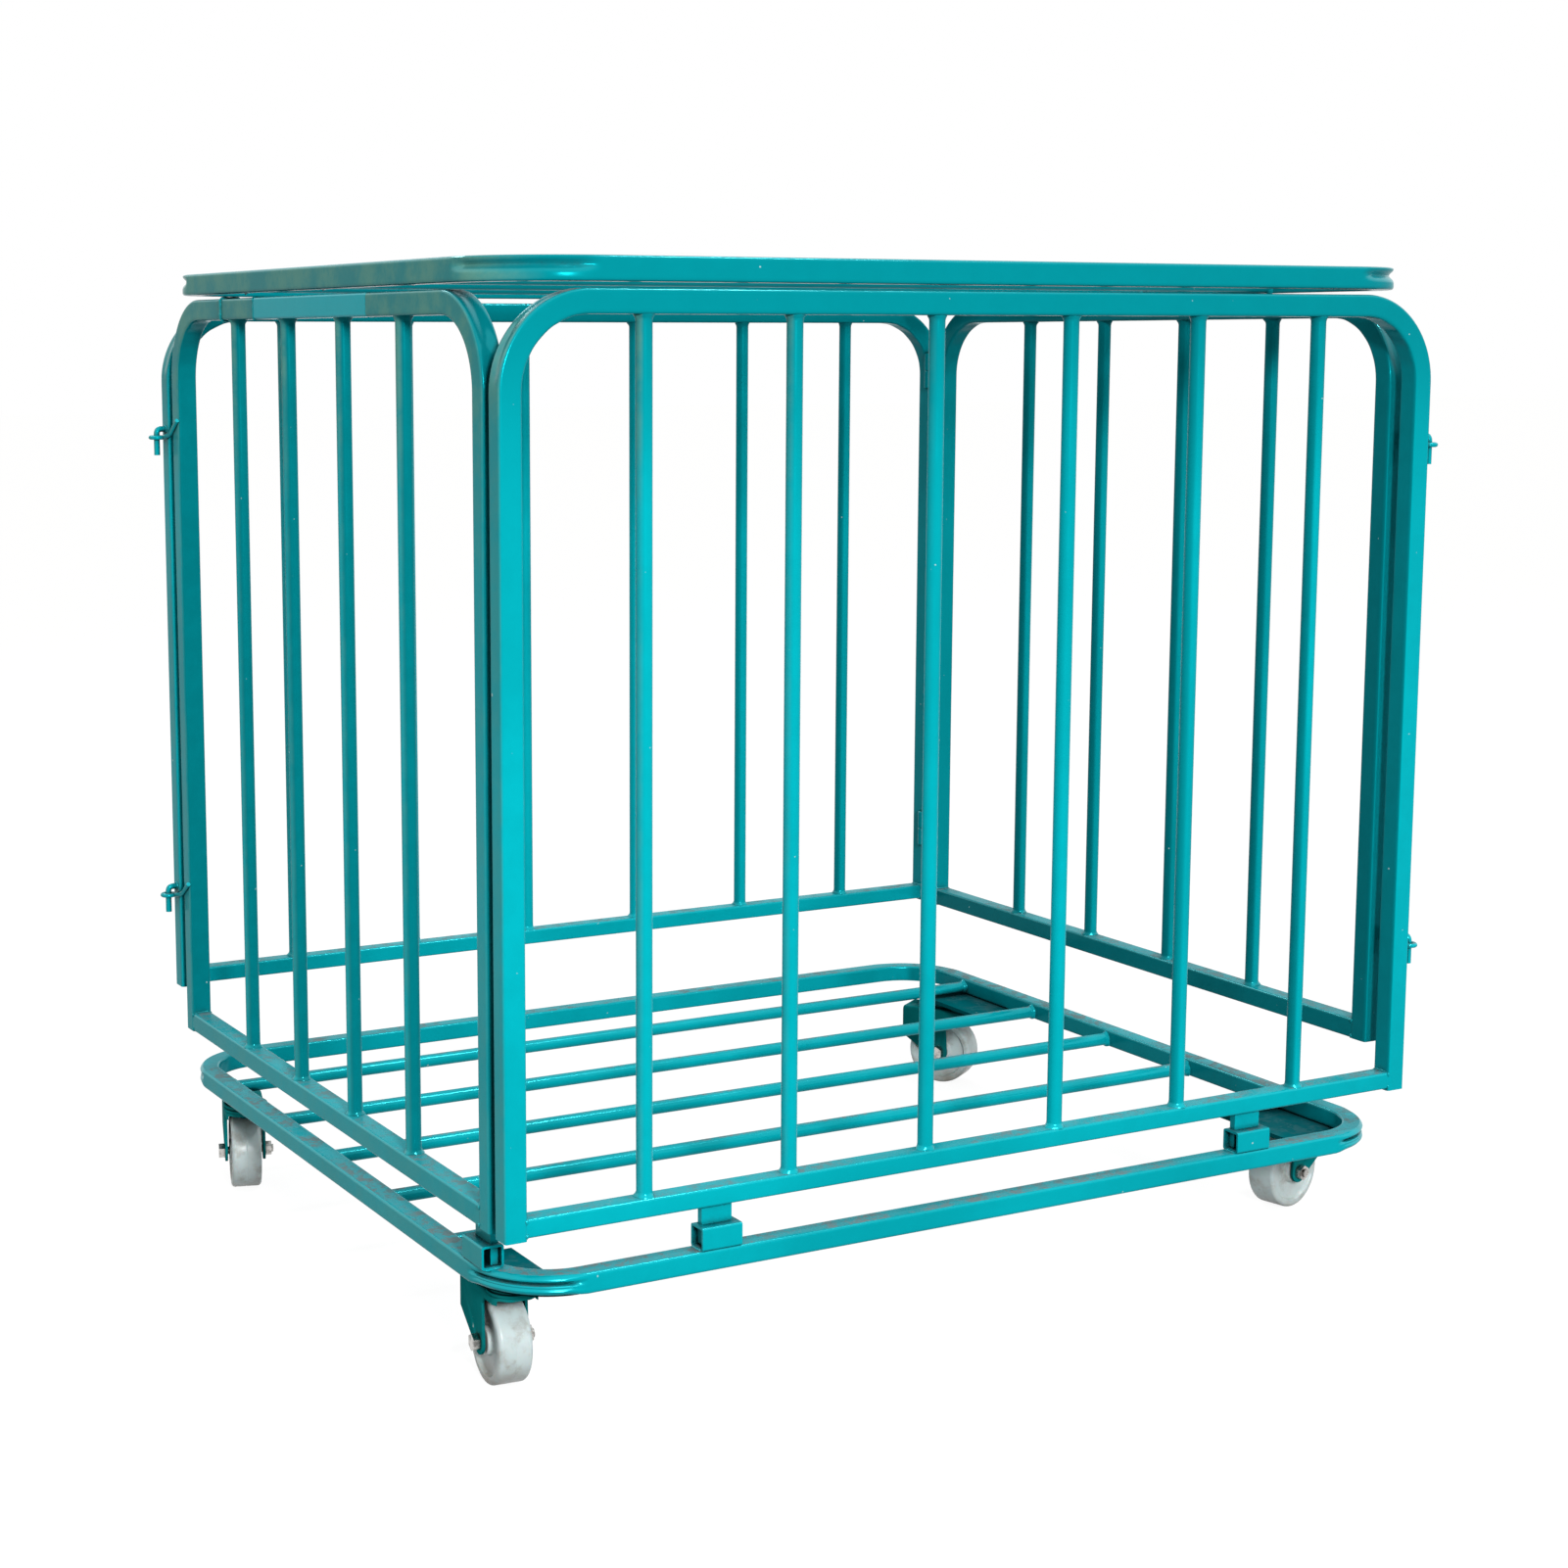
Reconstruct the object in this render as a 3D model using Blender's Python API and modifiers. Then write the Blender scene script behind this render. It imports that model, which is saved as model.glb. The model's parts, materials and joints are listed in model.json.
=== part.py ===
"""A ball basket: a cage of four tube panels with a hinged lid, standing on a base ring with four casters.

The panels are joined at their corners, two corners by pinned butt hinges inside the cage and two by
hooked pins outside it, so the four panels fold flat as a parallelogram. The front panel's tongues
drop into sockets on the base ring. X runs along the front, Y from front to back, Z up, and the
origin is the middle of the whole basket's footprint on the floor.
"""

import math

import bmesh
import bpy
from mathutils import Vector

# Cage
CAGE_WIDTH = 0.951
CAGE_DEPTH = 0.806
TUBE = 0.020
PANEL_HEIGHT = 0.750
PANEL_BEND_RADIUS = 0.080
HINGE_CORNER_GAP = 0.010
HOOK_CORNER_GAP = 0.013
HUNG_PANEL_LIFT = 0.040
FRONT_RAIL_HEIGHT = 0.016
SIDE_RAIL_HEIGHT = 0.019
FRONT_RAIL_SETBACK = 0.002
SIDE_RAIL_SETBACK = 0.0
BAR_DIAMETER = 0.0135
WIDE_PANEL_BARS = 6
WIDE_BAR_INSET = 0.1305
WIDE_BAR_PITCH = (CAGE_WIDTH - 2 * WIDE_BAR_INSET) / (WIDE_PANEL_BARS - 1)
SIDE_LENGTH = CAGE_DEPTH - 2 * TUBE - HINGE_CORNER_GAP - HOOK_CORNER_GAP
SIDE_PANEL_BARS = 4
SIDE_BAR_INSET = 0.1735
SIDE_BAR_PITCH = (SIDE_LENGTH - 2 * SIDE_BAR_INSET) / (SIDE_PANEL_BARS - 1)
BAR_SIDES = 12

# Lid
LID_GAP = 0.005
LID_BEND_RADIUS = 0.090
LID_BAR_DIAMETER = 0.014
LID_BARS = 3
LID_BAR_INSET = 0.203
LID_BAR_PITCH = (CAGE_DEPTH - 2 * LID_BAR_INSET) / (LID_BARS - 1)
LID_BAR_LIFT = 0.001

# Base ring, a little smaller than the cage, with its floor bars and its sockets
RING_WIDTH = CAGE_WIDTH - 0.007
RING_DEPTH = CAGE_DEPTH - 0.009
RING_HEIGHT = 0.018
RING_TUBE = 0.020
RING_BEND_RADIUS = 0.074
RING_TO_CAGE = 0.035
FLOOR_BAR_DIAMETER = 0.013
FLOOR_BARS = 5
FIRST_FLOOR_BAR = 0.150
LAST_FLOOR_BAR = RING_DEPTH - 0.111
FLOOR_BAR_PITCH = (LAST_FLOOR_BAR - FIRST_FLOOR_BAR) / (FLOOR_BARS - 1)
FLOOR_BAR_LIFT = 0.001
SOCKET_LENGTH = 0.038
SOCKET_HEIGHT = 0.020
SOCKET_WALL = 0.002
SOCKET_BORE_OVERRUN = 0.010
TONGUE_LENGTH = 0.029
TONGUE_THICKNESS = 0.007
TONGUE_SETBACK = 0.0100
FRONT_SOCKETS = (0.199, CAGE_WIDTH - 0.184)
SIDE_SOCKET = 0.064

# Casters
WHEEL_RADIUS = 0.0375
WHEEL_WIDTH = 0.032
WHEEL_CLEARANCE = 0.002
WHEEL_RIM = 0.0075
WHEEL_HUB_RADIUS = 0.012
WHEEL_RECESS = 0.005
WHEEL_CORNER = 0.0035
WHEEL_DRAFT = 0.001
WHEEL_STEPS = 24
AXLE_RADIUS = 0.004
AXLE_HEX = 0.013
AXLE_HEAD = 0.006
CASTER_TRAIL = 0.028
FORK_THICKNESS = 0.0025
FORK_REACH = 0.045
FORK_TIP_RADIUS = 0.011
FORK_SHOULDER = 0.008
FORK_TAPER_START = WHEEL_RADIUS + 0.0175
FORK_CROWN_HEIGHT = 2 * WHEEL_RADIUS + 0.013
FORK_CROWN_START = 0.0195
RACE_RADIUS = 0.022
KINGPIN_RADIUS = 0.005
KINGPIN_HEAD_RADIUS = 0.008
KINGPIN_HEAD = 0.005
PLATE_THICKNESS = 0.004
PLATE_MARGIN = 0.004
AXLE_END = 0.002
BORE_OVERRUN = 0.010
RING_BOTTOM = FORK_CROWN_HEIGHT + 0.0125

# Each kingpin from the ring's nearest corner, then the way its wheel trails in degrees from +X
CASTERS = {
    "front_left": (0.0385, 0.0680, 85.0),
    "front_right": (0.0360, 0.1395, 13.3),
    "back_left": (0.0256, 0.1270, 73.5),
    "back_right": (0.0310, 0.1350, 124.0),
}

# Each corner plate from the ring's nearest corner: how far in it reaches, where it starts, its length
PLATES = {
    "front_left": (0.068, 0.004, 0.128),
    "front_right": (0.082, 0.061, 0.128),
    "back_left": (0.040, 0.097, 0.055),
    "back_right": (0.068, 0.071, 0.128),
}

# Corner hinges and hooks
HINGE_OFF_SIDE = 0.0045
HINGE_OFF_WIDE = 0.0052
BARREL_RADIUS = 0.0042
HINGE_PIN_RADIUS = 0.0020
HINGE_PIN_HEAD_RADIUS = 0.0032
HINGE_PIN_HEAD = 0.0015
KNUCKLE = 0.020
LEAF_THICKNESS = 0.0022
LEAF_WIDTH = 0.020
UPPER_HINGE_HEIGHT = PANEL_HEIGHT - 0.075
LOWER_HINGE_HEIGHT = 0.130
HOOK_ROD_RADIUS = 0.0030
EYE_ROD_RADIUS = 0.0022
EYE_PLAY = 0.0010
EYE_RADIUS = HOOK_ROD_RADIUS + EYE_PLAY + EYE_ROD_RADIUS
EYE_CLEARANCE = 0.0006
EYE_STUB_RADIUS = 0.0020
HOOK_OFFSET = EYE_RADIUS + EYE_ROD_RADIUS + EYE_CLEARANCE
UPPER_HOOK_HEIGHT = PANEL_HEIGHT - 0.137
LOWER_HOOK_HEIGHT = 0.138
HOOK_DROP = 0.018
HOOK_RISE = 0.0085
HOOK_BEND = 0.004
BEND_EASE = 0.3
HOOK_LAP = 0.012
HOOK_BITE = 0.0014
HOOK_WELD = 0.0008
EYE_ARM_LENGTH = 0.020
EYE_ARM_SLANT = 0.018
EYE_ARM_REACH = 0.003
EYE_ARM_DROP = 0.003
EYE_MEET_ANGLE = -30.0
EYE_WELD = 0.0007

# Lid hinges
LID_AXIS_OFFSET = 0.0050
LID_KNUCKLE = 0.025
LID_LEAF_WIDTH = 0.0175
LID_HINGES = (0.190, CAGE_WIDTH - 0.190)

# Fits
GAP = 0.0003
SINK = 0.0004
FIT = 0.0004
BORE = 0.0003
PIN_BORE_OVERRUN = 0.005
BEND_STEPS = 8
PIN_SIDES = 12

# The casters and hinges reach further right and back of the cage than left and front
FOOTPRINT_SHIFT = (0.0075, 0.0045)

CAGE_FOOT = RING_BOTTOM + RING_HEIGHT + RING_TO_CAGE
CAGE_TOP = CAGE_FOOT + PANEL_HEIGHT
RING_TOP = RING_BOTTOM + RING_HEIGHT
LID_BOTTOM = CAGE_TOP + LID_GAP
LID_AXIS_HEIGHT = CAGE_TOP + LID_GAP / 2
LID_AXIS_DEPTH = CAGE_DEPTH + LID_AXIS_OFFSET

PARTS = bpy.data.collections.new("ball_basket")
HELPERS = bpy.data.collections.new("cutters")
PLACES = {}


def at(x, y, z):
    """A world point from the front left corner of the cage and the floor."""
    return Vector((x - CAGE_WIDTH / 2 - FOOTPRINT_SHIFT[0], y - CAGE_DEPTH / 2 - FOOTPRINT_SHIFT[1], z))


def clear_scene():
    for thing in list(bpy.data.objects):
        bpy.data.objects.remove(thing, do_unlink=True)
    for collection in (PARTS, HELPERS):
        bpy.context.scene.collection.children.link(collection)


def material(name, colour, roughness, metallic):
    paint = bpy.data.materials.new(name)
    paint.use_nodes = True
    shader = paint.node_tree.nodes["Principled BSDF"]
    shader.inputs["Base Color"].default_value = (*colour, 1.0)
    shader.inputs["Roughness"].default_value = roughness
    shader.inputs["Metallic"].default_value = metallic
    return paint


def pivot(name, place, parent=None, turn=0.0):
    """An empty on a joint's axis, turned about Z, that carries the pieces of one moving body."""
    empty = bpy.data.objects.new(name, None)
    empty.empty_display_size = 0.03
    PARTS.objects.link(empty)
    empty.location = place - PLACES[parent.name] if parent else place
    empty.rotation_euler.z = turn
    empty.parent = parent
    PLACES[name] = place.copy()
    return empty


def ride(piece, parent):
    """Parent a piece that was built in world coordinates to a pivot that isn't turned."""
    piece.parent = parent
    piece.location = piece.location - PLACES[parent.name]


def link(piece, paint=None):
    """Put a piece among the parts, or among the helpers where it has no paint."""
    if paint is None:
        piece.hide_render = True
        piece.display_type = "WIRE"
        HELPERS.objects.link(piece)
    else:
        piece.data.materials.clear()
        piece.data.materials.append(paint)
        PARTS.objects.link(piece)
    return piece


def mesh_piece(name, cage, paint=None):
    """Turn a bmesh into a linked object."""
    mesh = bpy.data.meshes.new(name)
    cage.to_mesh(mesh)
    cage.free()
    return link(bpy.data.objects.new(name, mesh), paint)


def box(name, low, high, paint=None):
    """A box between two world corners, with its origin at its middle."""
    low, high = Vector(low), Vector(high)
    cage = bmesh.new()
    bmesh.ops.create_cube(cage, size=1.0)
    bmesh.ops.scale(cage, vec=high - low, verts=cage.verts)
    piece = mesh_piece(name, cage, paint)
    piece.location = (low + high) / 2
    return piece


def rod(name, start, end, radius, paint=None, sides=BAR_SIDES):
    """A round bar, or a hexagon where it has six sides, between two points."""
    start, end = Vector(start), Vector(end)
    cage = bmesh.new()
    bmesh.ops.create_cone(cage, cap_ends=True, segments=sides, radius1=radius, radius2=radius,
                          depth=(end - start).length)
    piece = mesh_piece(name, cage, paint)
    piece.location = (start + end) / 2
    piece.rotation_euler = (end - start).to_track_quat("Z", "Y").to_euler()
    if sides > 6:
        piece.data.shade_smooth()
        piece.data.set_sharp_from_angle(angle=math.radians(40))
    return piece


def arc(centre, radius, start, end, steps=BEND_STEPS):
    """Points on an arc, with its angles in degrees and both ends included."""
    turns = [math.radians(start + (end - start) * step / steps) for step in range(steps + 1)]
    return [(centre[0] + radius * math.cos(t), centre[1] + radius * math.sin(t)) for t in turns]


def flat_piece(name, outlines, thickness, place, turn):
    """A closed outline, with any hole as a second outline, made solid to both sides of its plane."""
    curve = bpy.data.curves.new(name, "CURVE")
    curve.dimensions = "2D"
    curve.fill_mode = "BOTH"
    curve.extrude = thickness / 2
    for outline in outlines:
        spline = curve.splines.new("POLY")
        spline.points.add(len(outline) - 1)
        for point, (u, v) in zip(spline.points, outline):
            point.co = (u, v, 0.0, 1.0)
        spline.use_cyclic_u = True
    return meshed(bpy.data.objects.new(name, curve), place, turn)


def bent_rod(name, points, radius):
    """A bent round rod along a chain of points, with its ends closed."""
    curve = bpy.data.curves.new(name, "CURVE")
    curve.dimensions = "3D"
    curve.bevel_depth = radius
    curve.bevel_resolution = 2
    curve.use_fill_caps = True
    spline = curve.splines.new("POLY")
    spline.points.add(len(points) - 1)
    for point, place in zip(spline.points, points):
        point.co = (*place, 1.0)
    return meshed(bpy.data.objects.new(name, curve), Vector((0, 0, 0)), (0, 0, 0))


def meshed(bent, place, turn):
    """The same solid as a mesh, with its caps welded on, so that it can be cut and joined."""
    name = bent.name
    HELPERS.objects.link(bent)
    bent.location = place
    bent.rotation_euler = turn
    bpy.context.view_layer.update()
    mesh = bpy.data.meshes.new_from_object(bent.evaluated_get(bpy.context.evaluated_depsgraph_get()))
    cage = bmesh.new()
    cage.from_mesh(mesh)
    bmesh.ops.remove_doubles(cage, verts=cage.verts, dist=0.00001)
    cage.to_mesh(mesh)
    cage.free()
    bpy.data.objects.remove(bent, do_unlink=True)
    solid = bpy.data.objects.new(name, mesh)
    solid.location = place
    solid.rotation_euler = turn
    return solid


def torus(name, centre, ring_radius, rod_radius, steps=14, sides=6):
    """A closed ring of rod lying level, turned about Z from its round section."""
    cage = bmesh.new()
    section = [cage.verts.new((x, 0.0, z)) for x, z in
               arc((ring_radius, 0.0), rod_radius, 90, -270, sides)[:-1]]
    for first, second in zip(section, section[1:] + section[:1]):
        cage.edges.new((first, second))
    piece = mesh_piece(name, cage)
    turn_solid(piece, steps)
    piece.location = centre
    return piece


def turn_solid(piece, steps):
    """Turn a closed profile about the piece's own Z."""
    screw = piece.modifiers.new("turn", "SCREW")
    screw.steps = steps
    screw.render_steps = steps
    screw.use_merge_vertices = True
    screw.merge_threshold = 0.00001
    return piece


def boolean(target, pieces, operation):
    for piece in pieces:
        step = target.modifiers.new(operation.lower(), "BOOLEAN")
        step.operation = operation
        step.solver = "EXACT"
        step.object = piece


def join(target, pieces):
    boolean(target, pieces, "UNION")


def cut(target, pieces):
    boolean(target, pieces, "DIFFERENCE")


def rounded_outline(width, depth, radius):
    """A rounded rectangle from its own corner, counterclockwise."""
    far_x, far_y = width - radius, depth - radius
    return (arc((far_x, radius), radius, -90, 0) + arc((far_x, far_y), radius, 0, 90)
            + arc((radius, far_y), radius, 90, 180) + arc((radius, radius), radius, 180, 270))


def tube_ring_outlines(width, depth, radius, tube):
    inner = rounded_outline(width - 2 * tube, depth - 2 * tube, radius - tube)
    return [rounded_outline(width, depth, radius), [(u + tube, v + tube) for u, v in inner]]


def panel_outline(length, height):
    """One bent tube: a leg up, the rail over the top, and a leg down."""
    radius = PANEL_BEND_RADIUS
    right, left = (length - radius, height - radius), (radius, height - radius)
    over = arc(right, radius, 0, 90) + arc(left, radius, 90, 180)
    under = arc(left, radius - TUBE, 180, 90) + arc(right, radius - TUBE, 90, 0)
    return [(length, 0.0), *over, (0.0, 0.0), (TUBE, 0.0), *under, (length - TUBE, 0.0)]


class Panel:
    """Where one wall of the cage stands: its own length, foot and direction."""

    def __init__(self, name, along, start, across, length, foot):
        self.name = name
        self.along_x = along == "x"
        self.start = start
        self.across = across
        self.length = length
        self.foot = foot
        self.bars = WIDE_PANEL_BARS if self.along_x else SIDE_PANEL_BARS
        self.pitch = WIDE_BAR_PITCH if self.along_x else SIDE_BAR_PITCH
        self.rail_low = FRONT_RAIL_SETBACK if self.along_x else SIDE_RAIL_SETBACK
        self.rail_high = self.rail_low + (FRONT_RAIL_HEIGHT if self.along_x else SIDE_RAIL_HEIGHT)

    def point(self, along, across, height):
        """A world point from the wall's lower corner, on the side nearer the front or the left."""
        if self.along_x:
            return at(self.start + along, self.across + across, self.foot + height)
        return at(self.across + across, self.start + along, self.foot + height)


PANELS = {
    "front": Panel("front", "x", 0.0, 0.0, CAGE_WIDTH, CAGE_FOOT),
    "left": Panel("left", "y", TUBE + HINGE_CORNER_GAP, 0.0, SIDE_LENGTH, CAGE_FOOT),
    "back": Panel("back", "x", 0.0, CAGE_DEPTH - TUBE, CAGE_WIDTH, CAGE_FOOT + HUNG_PANEL_LIFT),
    "right": Panel("right", "y", TUBE + HOOK_CORNER_GAP, CAGE_WIDTH - TUBE, SIDE_LENGTH,
                   CAGE_FOOT + HUNG_PANEL_LIFT),
}

# The four corner axes, as distances from the cage's front left corner
NEAR_HINGE = Vector((TUBE + HINGE_OFF_SIDE, TUBE + HINGE_OFF_WIDE))
FAR_HINGE = Vector((CAGE_WIDTH - NEAR_HINGE.x, CAGE_DEPTH - NEAR_HINGE.y))
BACK_HOOK = Vector((-HOOK_OFFSET, CAGE_DEPTH - TUBE / 2))
FRONT_HOOK = Vector((CAGE_WIDTH + HOOK_OFFSET, TUBE / 2))
HINGE_LEVELS = {"upper": CAGE_FOOT + UPPER_HINGE_HEIGHT, "lower": CAGE_FOOT + LOWER_HINGE_HEIGHT}
HOOK_LEVELS = {"upper": CAGE_FOOT + UPPER_HOOK_HEIGHT, "lower": CAGE_FOOT + LOWER_HOOK_HEIGHT}


def panel_frame(panel, paint):
    height = CAGE_TOP - panel.foot
    turn = (math.pi / 2, 0.0, 0.0 if panel.along_x else math.pi / 2)
    frame = flat_piece(f"{panel.name}_frame", [panel_outline(panel.length, height)], TUBE,
                       panel.point(0.0, TUBE / 2, 0.0), turn)
    return link(frame, paint)


def panel_rail(panel, paint):
    low = panel.point(TUBE + GAP, GAP, panel.rail_low)
    high = panel.point(panel.length - TUBE - GAP, TUBE - GAP, panel.rail_high)
    return box(f"{panel.name}_bottom_rail", low, high, paint)


def panel_bars(panel, paint):
    foot = panel.rail_high + GAP
    head = CAGE_TOP - panel.foot - TUBE - GAP
    middle = (panel.bars - 1) / 2
    bars = []
    for count in range(panel.bars):
        along = panel.length / 2 + (count - middle) * panel.pitch
        bars.append(rod(f"{panel.name}_bar_{count + 1}", panel.point(along, TUBE / 2, foot),
                        panel.point(along, TUBE / 2, head), BAR_DIAMETER / 2, paint))
    return bars


def tongue(along, across, foot, head, along_x=True):
    """A flat tongue standing in a socket, set back from the socket's outer face."""
    half = TONGUE_LENGTH / 2
    low = [along - half, across + TONGUE_SETBACK, foot]
    high = [along + half, across + TONGUE_SETBACK + TONGUE_THICKNESS, head]
    if not along_x:
        low[0], low[1] = low[1], low[0]
        high[0], high[1] = high[1], high[0]
    return box("tongue", at(*low), at(*high))


def socket(along, along_x):
    """A short box tube lying on the ring, open at both ends: its outside and its bore."""
    half = SOCKET_LENGTH / 2
    run = half + SOCKET_BORE_OVERRUN
    spans = [(along - half, along + half), (0.0, RING_TUBE)]
    inner = [(along - run, along + run), (SOCKET_WALL, RING_TUBE - SOCKET_WALL)]
    if not along_x:
        spans.reverse()
        inner.reverse()
    outside = box("socket", at(spans[0][0], spans[1][0], RING_TOP - SINK),
                  at(spans[0][1], spans[1][1], RING_TOP + SOCKET_HEIGHT))
    bore = box("socket_bore", at(inner[0][0], inner[1][0], RING_TOP + SOCKET_WALL),
               at(inner[0][1], inner[1][1], RING_TOP + SOCKET_HEIGHT - SOCKET_WALL))
    return outside, bore


def socket_slot(along):
    """The cut in a front socket's roof that lets the tongue in."""
    half = TONGUE_LENGTH / 2 + FIT
    low = at(along - half, TONGUE_SETBACK - FIT, RING_TOP + SOCKET_HEIGHT - 2 * SOCKET_WALL)
    high = at(along + half, TONGUE_SETBACK + TONGUE_THICKNESS + FIT, RING_TOP + SOCKET_HEIGHT + SOCKET_WALL)
    return box("socket_slot", low, high)


def base_ring(paint):
    """The bent ring with two sockets that take the front panel and a rest under the left panel."""
    outlines = tube_ring_outlines(RING_WIDTH, RING_DEPTH, RING_BEND_RADIUS, RING_TUBE)
    ring = link(flat_piece("base_ring", outlines, RING_HEIGHT, at(0, 0, RING_BOTTOM + RING_HEIGHT / 2),
                           (0, 0, 0)), paint)
    sockets = [socket(along, True) for along in FRONT_SOCKETS] + [socket(SIDE_SOCKET, False)]
    join(ring, [outside for outside, bore in sockets])
    cut(ring, [bore for outside, bore in sockets])
    cut(ring, [socket_slot(along) for along in FRONT_SOCKETS])
    rest_top = CAGE_FOOT + SIDE_RAIL_SETBACK - GAP
    join(ring, [tongue(SIDE_SOCKET, 0.0, RING_TOP + SOCKET_WALL - SINK, rest_top, False)])
    return ring


def floor_bars(paint):
    height = RING_BOTTOM + FLOOR_BAR_LIFT + FLOOR_BAR_DIAMETER / 2
    for count in range(FLOOR_BARS):
        depth = FIRST_FLOOR_BAR + count * FLOOR_BAR_PITCH
        rod(f"floor_bar_{count + 1}", at(RING_TUBE + GAP, depth, height),
            at(RING_WIDTH - RING_TUBE - GAP, depth, height), FLOOR_BAR_DIAMETER / 2, paint)


def from_corner(corner, inset_x, inset_y, z):
    """A world point given by its distances in from one of the ring's four corners."""
    x = inset_x if corner.endswith("left") else RING_WIDTH - inset_x
    y = inset_y if corner.startswith("front") else RING_DEPTH - inset_y
    return at(x, y, z)


def kingpin_place(corner):
    """A corner's swivel axis on the floor plane."""
    inset_x, inset_y, trail = CASTERS[corner]
    return from_corner(corner, inset_x, inset_y, 0.0)


def corner_plate(corner, paint):
    """A plate under the ring, cut to the ring's outline, with the caster's riveted kingpin."""
    reach, start, length = PLATES[corner]
    top = RING_BOTTOM - GAP
    bottom = top - PLATE_THICKNESS
    ends = [from_corner(corner, PLATE_MARGIN, start, bottom),
            from_corner(corner, reach, start + length, top)]
    low = [min(axis) for axis in zip(*ends)]
    high = [max(axis) for axis in zip(*ends)]
    plate = box(f"{corner}_corner_plate", low, high, paint)
    inset = rounded_outline(RING_WIDTH - 2 * PLATE_MARGIN, RING_DEPTH - 2 * PLATE_MARGIN,
                            RING_BEND_RADIUS - PLATE_MARGIN)
    footprint = link(flat_piece("plate_outline", [inset], 4 * PLATE_THICKNESS,
                                at(PLATE_MARGIN, PLATE_MARGIN, bottom), (0, 0, 0)))
    boolean(plate, [footprint], "INTERSECT")
    middle = kingpin_place(corner)
    head_top = FORK_CROWN_HEIGHT - FORK_THICKNESS - GAP

    def above(height):
        return middle + Vector((0, 0, height))

    shank = rod("kingpin", above(head_top - SINK), above(top - SINK), KINGPIN_RADIUS)
    head = rod("kingpin_head", above(head_top - KINGPIN_HEAD), above(head_top), KINGPIN_HEAD_RADIUS)
    join(plate, [shank, head])
    return plate


def fork_leg_outline():
    """One leg in the plane of the wheel: upright beside the kingpin, tapered behind the axle."""
    far = CASTER_TRAIL + FORK_REACH
    top = FORK_CROWN_HEIGHT - SINK
    tip = arc((CASTER_TRAIL, WHEEL_RADIUS), FORK_TIP_RADIUS, 180, 330)
    return [(CASTER_TRAIL - FORK_SHOULDER, top), *tip, (far, FORK_TAPER_START), (far, top)]


def caster(corner, paints):
    """A fork that swivels under its corner plate, the wheel in it and the bolt that is the wheel's axle.

    Local X runs the way the wheel trails and local Y along the axle.
    """
    turn = math.radians(CASTERS[corner][2])
    swivel = pivot(f"{corner}_caster_swivel", kingpin_place(corner), None, turn)
    inner = WHEEL_WIDTH / 2 + WHEEL_CLEARANCE
    outer = inner + FORK_THICKNESS
    crown_low = FORK_CROWN_HEIGHT - FORK_THICKNESS
    fork = box(f"{corner}_caster_fork", (-FORK_CROWN_START, SINK - outer, crown_low),
               (CASTER_TRAIL + FORK_REACH - SINK, outer - SINK, FORK_CROWN_HEIGHT), paints["caster"])
    race_top = RING_BOTTOM - 2 * GAP - PLATE_THICKNESS
    race = rod("race", (0, 0, crown_low + SINK), (0, 0, race_top), RACE_RADIUS)
    legs = []
    for side in (-1, 1):
        across = side * (inner + outer) / 2
        leg = flat_piece("fork_leg", [fork_leg_outline()], FORK_THICKNESS, Vector((0, across, 0)),
                         (math.pi / 2, 0, 0))
        legs.append(link(leg))
    bore = rod("kingpin_bore", (0, 0, crown_low - BORE_OVERRUN), (0, 0, race_top + BORE_OVERRUN),
               KINGPIN_RADIUS + BORE)
    axle_bore = rod("axle_bore", (CASTER_TRAIL, -outer - BORE_OVERRUN, WHEEL_RADIUS),
                    (CASTER_TRAIL, outer + BORE_OVERRUN, WHEEL_RADIUS), AXLE_RADIUS + BORE)
    join(fork, [*legs, race])
    cut(fork, [bore, axle_bore])
    spin = bpy.data.objects.new(f"{corner}_caster_spin", None)
    spin.location = (CASTER_TRAIL, 0.0, WHEEL_RADIUS)
    PARTS.objects.link(spin)
    wheel = caster_wheel(f"{corner}_caster_wheel", paints["wheel"])
    axle = axle_bolt(f"{corner}_caster_axle", outer, paints["bolt"])
    for piece in (fork, race, *legs, bore, axle_bore, spin, axle):
        piece.parent = swivel
    wheel.parent = spin


def caster_wheel(name, paint):
    """A moulded wheel turned about its axle, with a hub and a rim standing out of recessed sides."""
    half = WHEEL_WIDTH / 2
    bore = AXLE_RADIUS + FIT
    rim = WHEEL_RADIUS - WHEEL_RIM
    shoulder = half - WHEEL_DRAFT
    side = [(bore, half), (WHEEL_HUB_RADIUS, half), (WHEEL_HUB_RADIUS + WHEEL_DRAFT, half - WHEEL_RECESS),
            (rim - WHEEL_DRAFT, half - WHEEL_RECESS), (rim, shoulder)]
    side += arc((WHEEL_RADIUS - WHEEL_CORNER, shoulder - WHEEL_CORNER), WHEEL_CORNER, 90, 0, 3)
    profile = side + [(radius, -across) for radius, across in reversed(side)]
    cage = bmesh.new()
    points = [cage.verts.new((radius, 0.0, across)) for radius, across in profile]
    for first, second in zip(points, points[1:] + points[:1]):
        cage.edges.new((first, second))
    wheel = turn_solid(mesh_piece(name, cage, paint), WHEEL_STEPS)
    wheel.rotation_euler = (math.pi / 2, 0.0, 0.0)
    return wheel


def axle_bolt(name, outer, paint):
    """A bolt across the fork: its shank, its hexagon head and its nut."""
    reach = outer + GAP
    end = reach + AXLE_HEAD

    def point(across):
        return (CASTER_TRAIL, across, WHEEL_RADIUS)

    bolt = rod(name, point(-end - AXLE_END), point(end - SINK), AXLE_RADIUS, paint, PIN_SIDES)
    heads = [rod("hex", point(side * reach), point(side * end), AXLE_HEX / math.sqrt(3), None, 6)
             for side in (-1, 1)]
    join(bolt, heads)
    helpers_follow(bolt, heads)
    return bolt


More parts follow.
